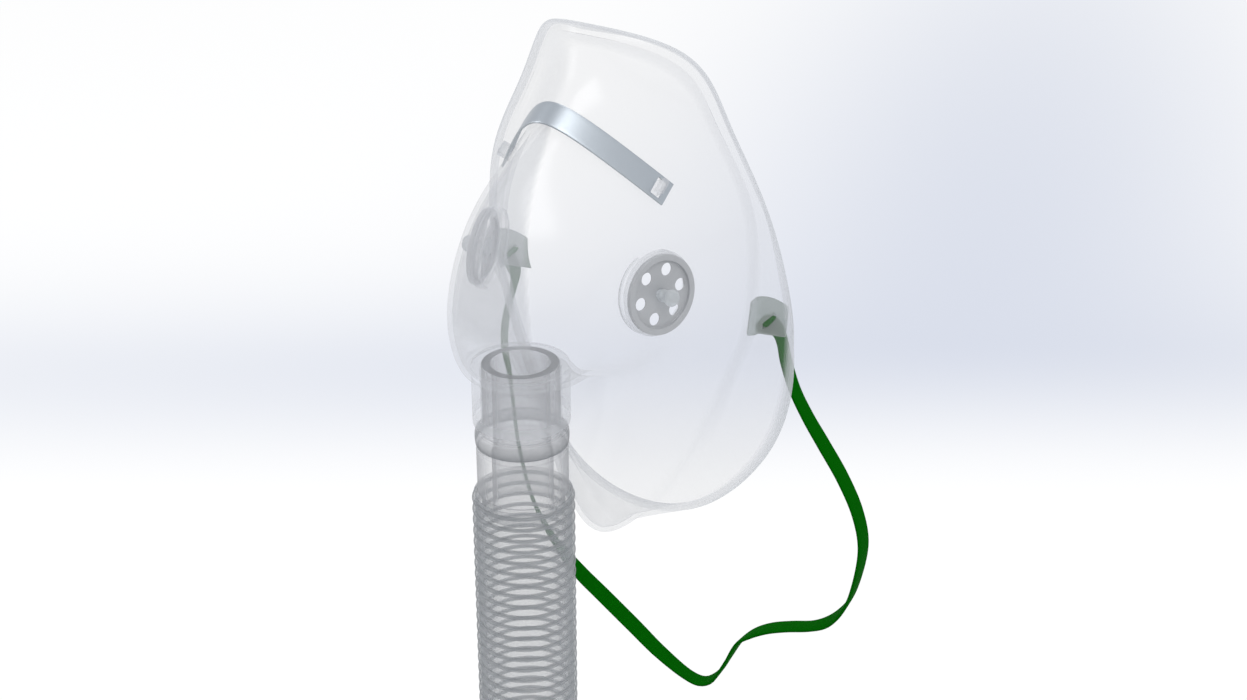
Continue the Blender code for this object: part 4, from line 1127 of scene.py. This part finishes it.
def seen_straight(tree):
    """1 for what the camera, a gloss or a clear piece sees, and 0 for the light on the object."""
    camera, glossy, through = (
        add_node(tree, "LightPath", out=f"Is {ray} Ray") for ray in ("Camera", "Glossy", "Transmission")
    )
    either = add_node(tree, "Math", {0: camera, 1: glossy}, operation="MAXIMUM")
    return add_node(tree, "Math", {0: either, 1: through}, operation="MAXIMUM")


def make_floor():
    """A plain pale floor. Its far part drifts to a pale blue-grey, as a studio sweep does.

    Each cloud covers exp(-d^2) of the floor, with d the distance in its own reach, and they
    join as 1 - (1 - a)(1 - b).
    """
    step = np.linspace(-1, 1, 9) * STAGE_REACH
    x, y = np.meshgrid(step, step)
    grid = np.stack([x, y, np.full_like(x, STAGE_HEIGHT)], axis=-1)
    made = surface("floor", grid, wrap_columns=False)
    painted, tree = new_material("Painted studio floor")
    coordinates = add_node(tree, "TexCoord", out="Object")
    clear = 1.0
    for spot, turn, reach, most in FLOOR_HAZE:
        placed = {"Vector": coordinates, "Location": spot, "Rotation": (0, 0, turn), "Scale": reach}
        cloud = add_node(tree, "Mapping", placed, vector_type="TEXTURE")
        away = add_node(tree, "VectorMath", {0: cloud, 1: cloud}, out="Value", operation="DOT_PRODUCT")
        away = add_node(tree, "Math", {0: away, 1: -1.0}, operation="MULTIPLY")
        cover = add_node(tree, "Math", {0: away}, operation="EXPONENT")
        left = add_node(tree, "Math", {0: cover, 1: -most, 2: 1.0}, operation="MULTIPLY_ADD")
        clear = add_node(tree, "Math", {0: clear, 1: left}, operation="MULTIPLY")
    hazed = add_node(tree, "Math", {0: 1.0, 1: clear}, operation="SUBTRACT")
    level = {"Vector": coordinates, "Rotation": (0, 0, HAZE_EDGE_TURN)}
    behind = add_node(tree, "SeparateXYZ", {0: add_node(tree, "Mapping", level, vector_type="TEXTURE")}, out=1)
    edge = {"Value": behind, "From Min": HAZE_EDGE[0], "From Max": HAZE_EDGE[1]}
    begun = add_node(tree, "MapRange", edge, interpolation_type="SMOOTHSTEP")
    haze = add_node(tree, "Math", {0: hazed, 1: begun}, operation="MULTIPLY")
    shades = {0: haze, 6: (1, 1, 1, 1), 7: (*colours().haze, 1)}
    tone = add_node(tree, "Mix", shades, out=2, data_type="RGBA")
    paint = add_node(tree, "BsdfDiffuse", {"Color": (*colours().floor, 1)})
    glow = add_node(tree, "Emission", {"Color": tone, "Strength": FLOOR_GLOW})
    share = add_node(tree, "Math", {0: seen_straight(tree), 1: FLOOR_GLOW_SHARE}, operation="MULTIPLY")
    add_node(tree, "OutputMaterial", {"Surface": add_node(tree, "MixShader", {0: share, 1: paint, 2: glow})})
    made.data.materials.append(painted)


def make_world():
    """Even studio light; the camera and the glossy pieces see a near-white backdrop."""
    world = bpy.data.worlds.new("Studio")
    world.use_nodes = True
    tree = world.node_tree
    tree.nodes.clear()
    dim = add_node(tree, "Background", {"Color": (*linear("#F6F7F9"), 1), "Strength": 0.75})
    pale = add_node(tree, "Background", {"Color": (*linear("#EEF0F5"), 1), "Strength": 1.0})
    mixed = add_node(tree, "MixShader", {0: seen_straight(tree), 1: dim, 2: pale})
    add_node(tree, "OutputWorld", {"Surface": mixed})
    bpy.context.scene.world = world


def softbox(name, spot, aim, width, height, power):
    """A rectangular lamp that faces a point."""
    lamp = bpy.data.lights.new(name, "AREA")
    lamp.shape = "RECTANGLE"
    lamp.size, lamp.size_y, lamp.energy = width, height, power
    made = bpy.data.objects.new(name, lamp)
    made.location = spot
    made.rotation_euler = (Vector(aim) - Vector(spot)).to_track_quat("-Z", "Y").to_euler()
    bpy.context.scene.collection.objects.link(made)


def make_stage():
    """The floor, the backdrop's light, the lamps and the camera."""
    make_floor()
    make_world()
    softbox("Key lamp", (0.68, -0.42, 0.95), (0, -0.03, 0), 0.6, 0.8, 5.0)
    softbox("Side lamp", (-0.9, -0.5, 0.45), (0, -0.03, 0), 0.35, 0.9, 3.0)
    softbox("Top lamp", (0.1, 0.5, 1.1), (0, 0, 0), 0.8, 0.6, 3.0)
    a, e = CAMERA_BEARING, CAMERA_HEIGHT
    right = Vector((cos(a), sin(a), 0))
    up = Vector((-sin(a) * sin(e), cos(a) * sin(e), cos(e)))
    back = Vector((sin(a) * cos(e), -cos(a) * cos(e), sin(e)))
    lens = bpy.data.cameras.new("Camera")
    lens.lens, lens.sensor_width, lens.clip_start = CAMERA_LENS, CAMERA_SENSOR, 0.01
    camera = bpy.data.objects.new("Camera", lens)
    camera.matrix_world = frame_matrix(Vector(CAMERA_PLACE), right, up, back)
    scene = bpy.context.scene
    scene.collection.objects.link(camera)
    scene.camera = camera
    scene.view_settings.view_transform = "Standard"
    scene.cycles.transparent_max_bounces = 96


class FaceMaskPiece:
    """What the operators share: each runs one maker and leaves its piece in the scene"""

    bl_options = {"REGISTER", "UNDO"}
    maker = None

    def execute(self, context):
        type(self).maker()
        return {"FINISHED"}


class FACEMASK_OT_moulding(FaceMaskPiece, bpy.types.Operator):
    """Build the clear moulding with its vent seats, pegs and collar"""

    bl_idname = "face_mask.moulding"
    bl_label = "Clear moulding"
    maker = staticmethod(make_moulding)


class FACEMASK_OT_clip(FaceMaskPiece, bpy.types.Operator):
    """Build the nose clip"""

    bl_idname = "face_mask.clip"
    bl_label = "Nose clip"
    maker = staticmethod(make_clip)


class FACEMASK_OT_vents(FaceMaskPiece, bpy.types.Operator):
    """Build both vent discs and their studs"""

    bl_idname = "face_mask.vents"
    bl_label = "Vents"
    maker = staticmethod(make_vents)


class FACEMASK_OT_lugs(FaceMaskPiece, bpy.types.Operator):
    """Build both strap lugs"""

    bl_idname = "face_mask.lugs"
    bl_label = "Strap lugs"
    maker = staticmethod(make_lugs)


class FACEMASK_OT_strap(FaceMaskPiece, bpy.types.Operator):
    """Build the green head strap"""

    bl_idname = "face_mask.strap"
    bl_label = "Head strap"
    maker = staticmethod(make_strap)


class FACEMASK_OT_connector(FaceMaskPiece, bpy.types.Operator):
    """Build the swivel connector"""

    bl_idname = "face_mask.connector"
    bl_label = "Swivel connector"
    maker = staticmethod(make_connector)


class FACEMASK_OT_hose(FaceMaskPiece, bpy.types.Operator):
    """Build the ribbed hose and its end cuff"""

    bl_idname = "face_mask.hose"
    bl_label = "Hose and cuff"
    maker = staticmethod(make_hose)


class FACEMASK_OT_stage(FaceMaskPiece, bpy.types.Operator):
    """Build the floor, the lamps, the world and the camera"""

    bl_idname = "face_mask.stage"
    bl_label = "Stage"
    maker = staticmethod(make_stage)


BUILDERS = (
    FACEMASK_OT_stage,
    FACEMASK_OT_strap,
    FACEMASK_OT_hose,
    FACEMASK_OT_moulding,
    FACEMASK_OT_clip,
    FACEMASK_OT_vents,
    FACEMASK_OT_lugs,
    FACEMASK_OT_connector,
)


class FACEMASK_PT_pieces(bpy.types.Panel):
    """The mask's builders, sizes and colours"""

    bl_idname = "FACEMASK_PT_pieces"
    bl_label = "Face mask"
    bl_space_type = "VIEW_3D"
    bl_region_type = "UI"
    bl_category = "Face mask"

    def draw(self, context):
        for builder in BUILDERS:
            self.layout.operator(builder.bl_idname)
        for group in (context.scene.face_mask_sizes, context.scene.face_mask_colours):
            column = self.layout.box().column()
            for name in group.bl_rna.properties.keys():
                if name not in ("rna_type", "name"):
                    column.prop(group, name)


CLASSES = (FaceMaskSizes, FaceMaskColours, *BUILDERS, FACEMASK_PT_pieces)


def register():
    for item in CLASSES:
        bpy.utils.register_class(item)
    bpy.types.Scene.face_mask_sizes = bpy.props.PointerProperty(type=FaceMaskSizes)
    bpy.types.Scene.face_mask_colours = bpy.props.PointerProperty(type=FaceMaskColours)


def unregister():
    del bpy.types.Scene.face_mask_colours
    del bpy.types.Scene.face_mask_sizes
    for item in reversed(CLASSES):
        bpy.utils.unregister_class(item)


def main():
    """Build every piece in order."""
    register()
    for builder in BUILDERS:
        group, name = builder.bl_idname.split(".")
        getattr(getattr(bpy.ops, group), name)()


if __name__ == "__main__":
    main()
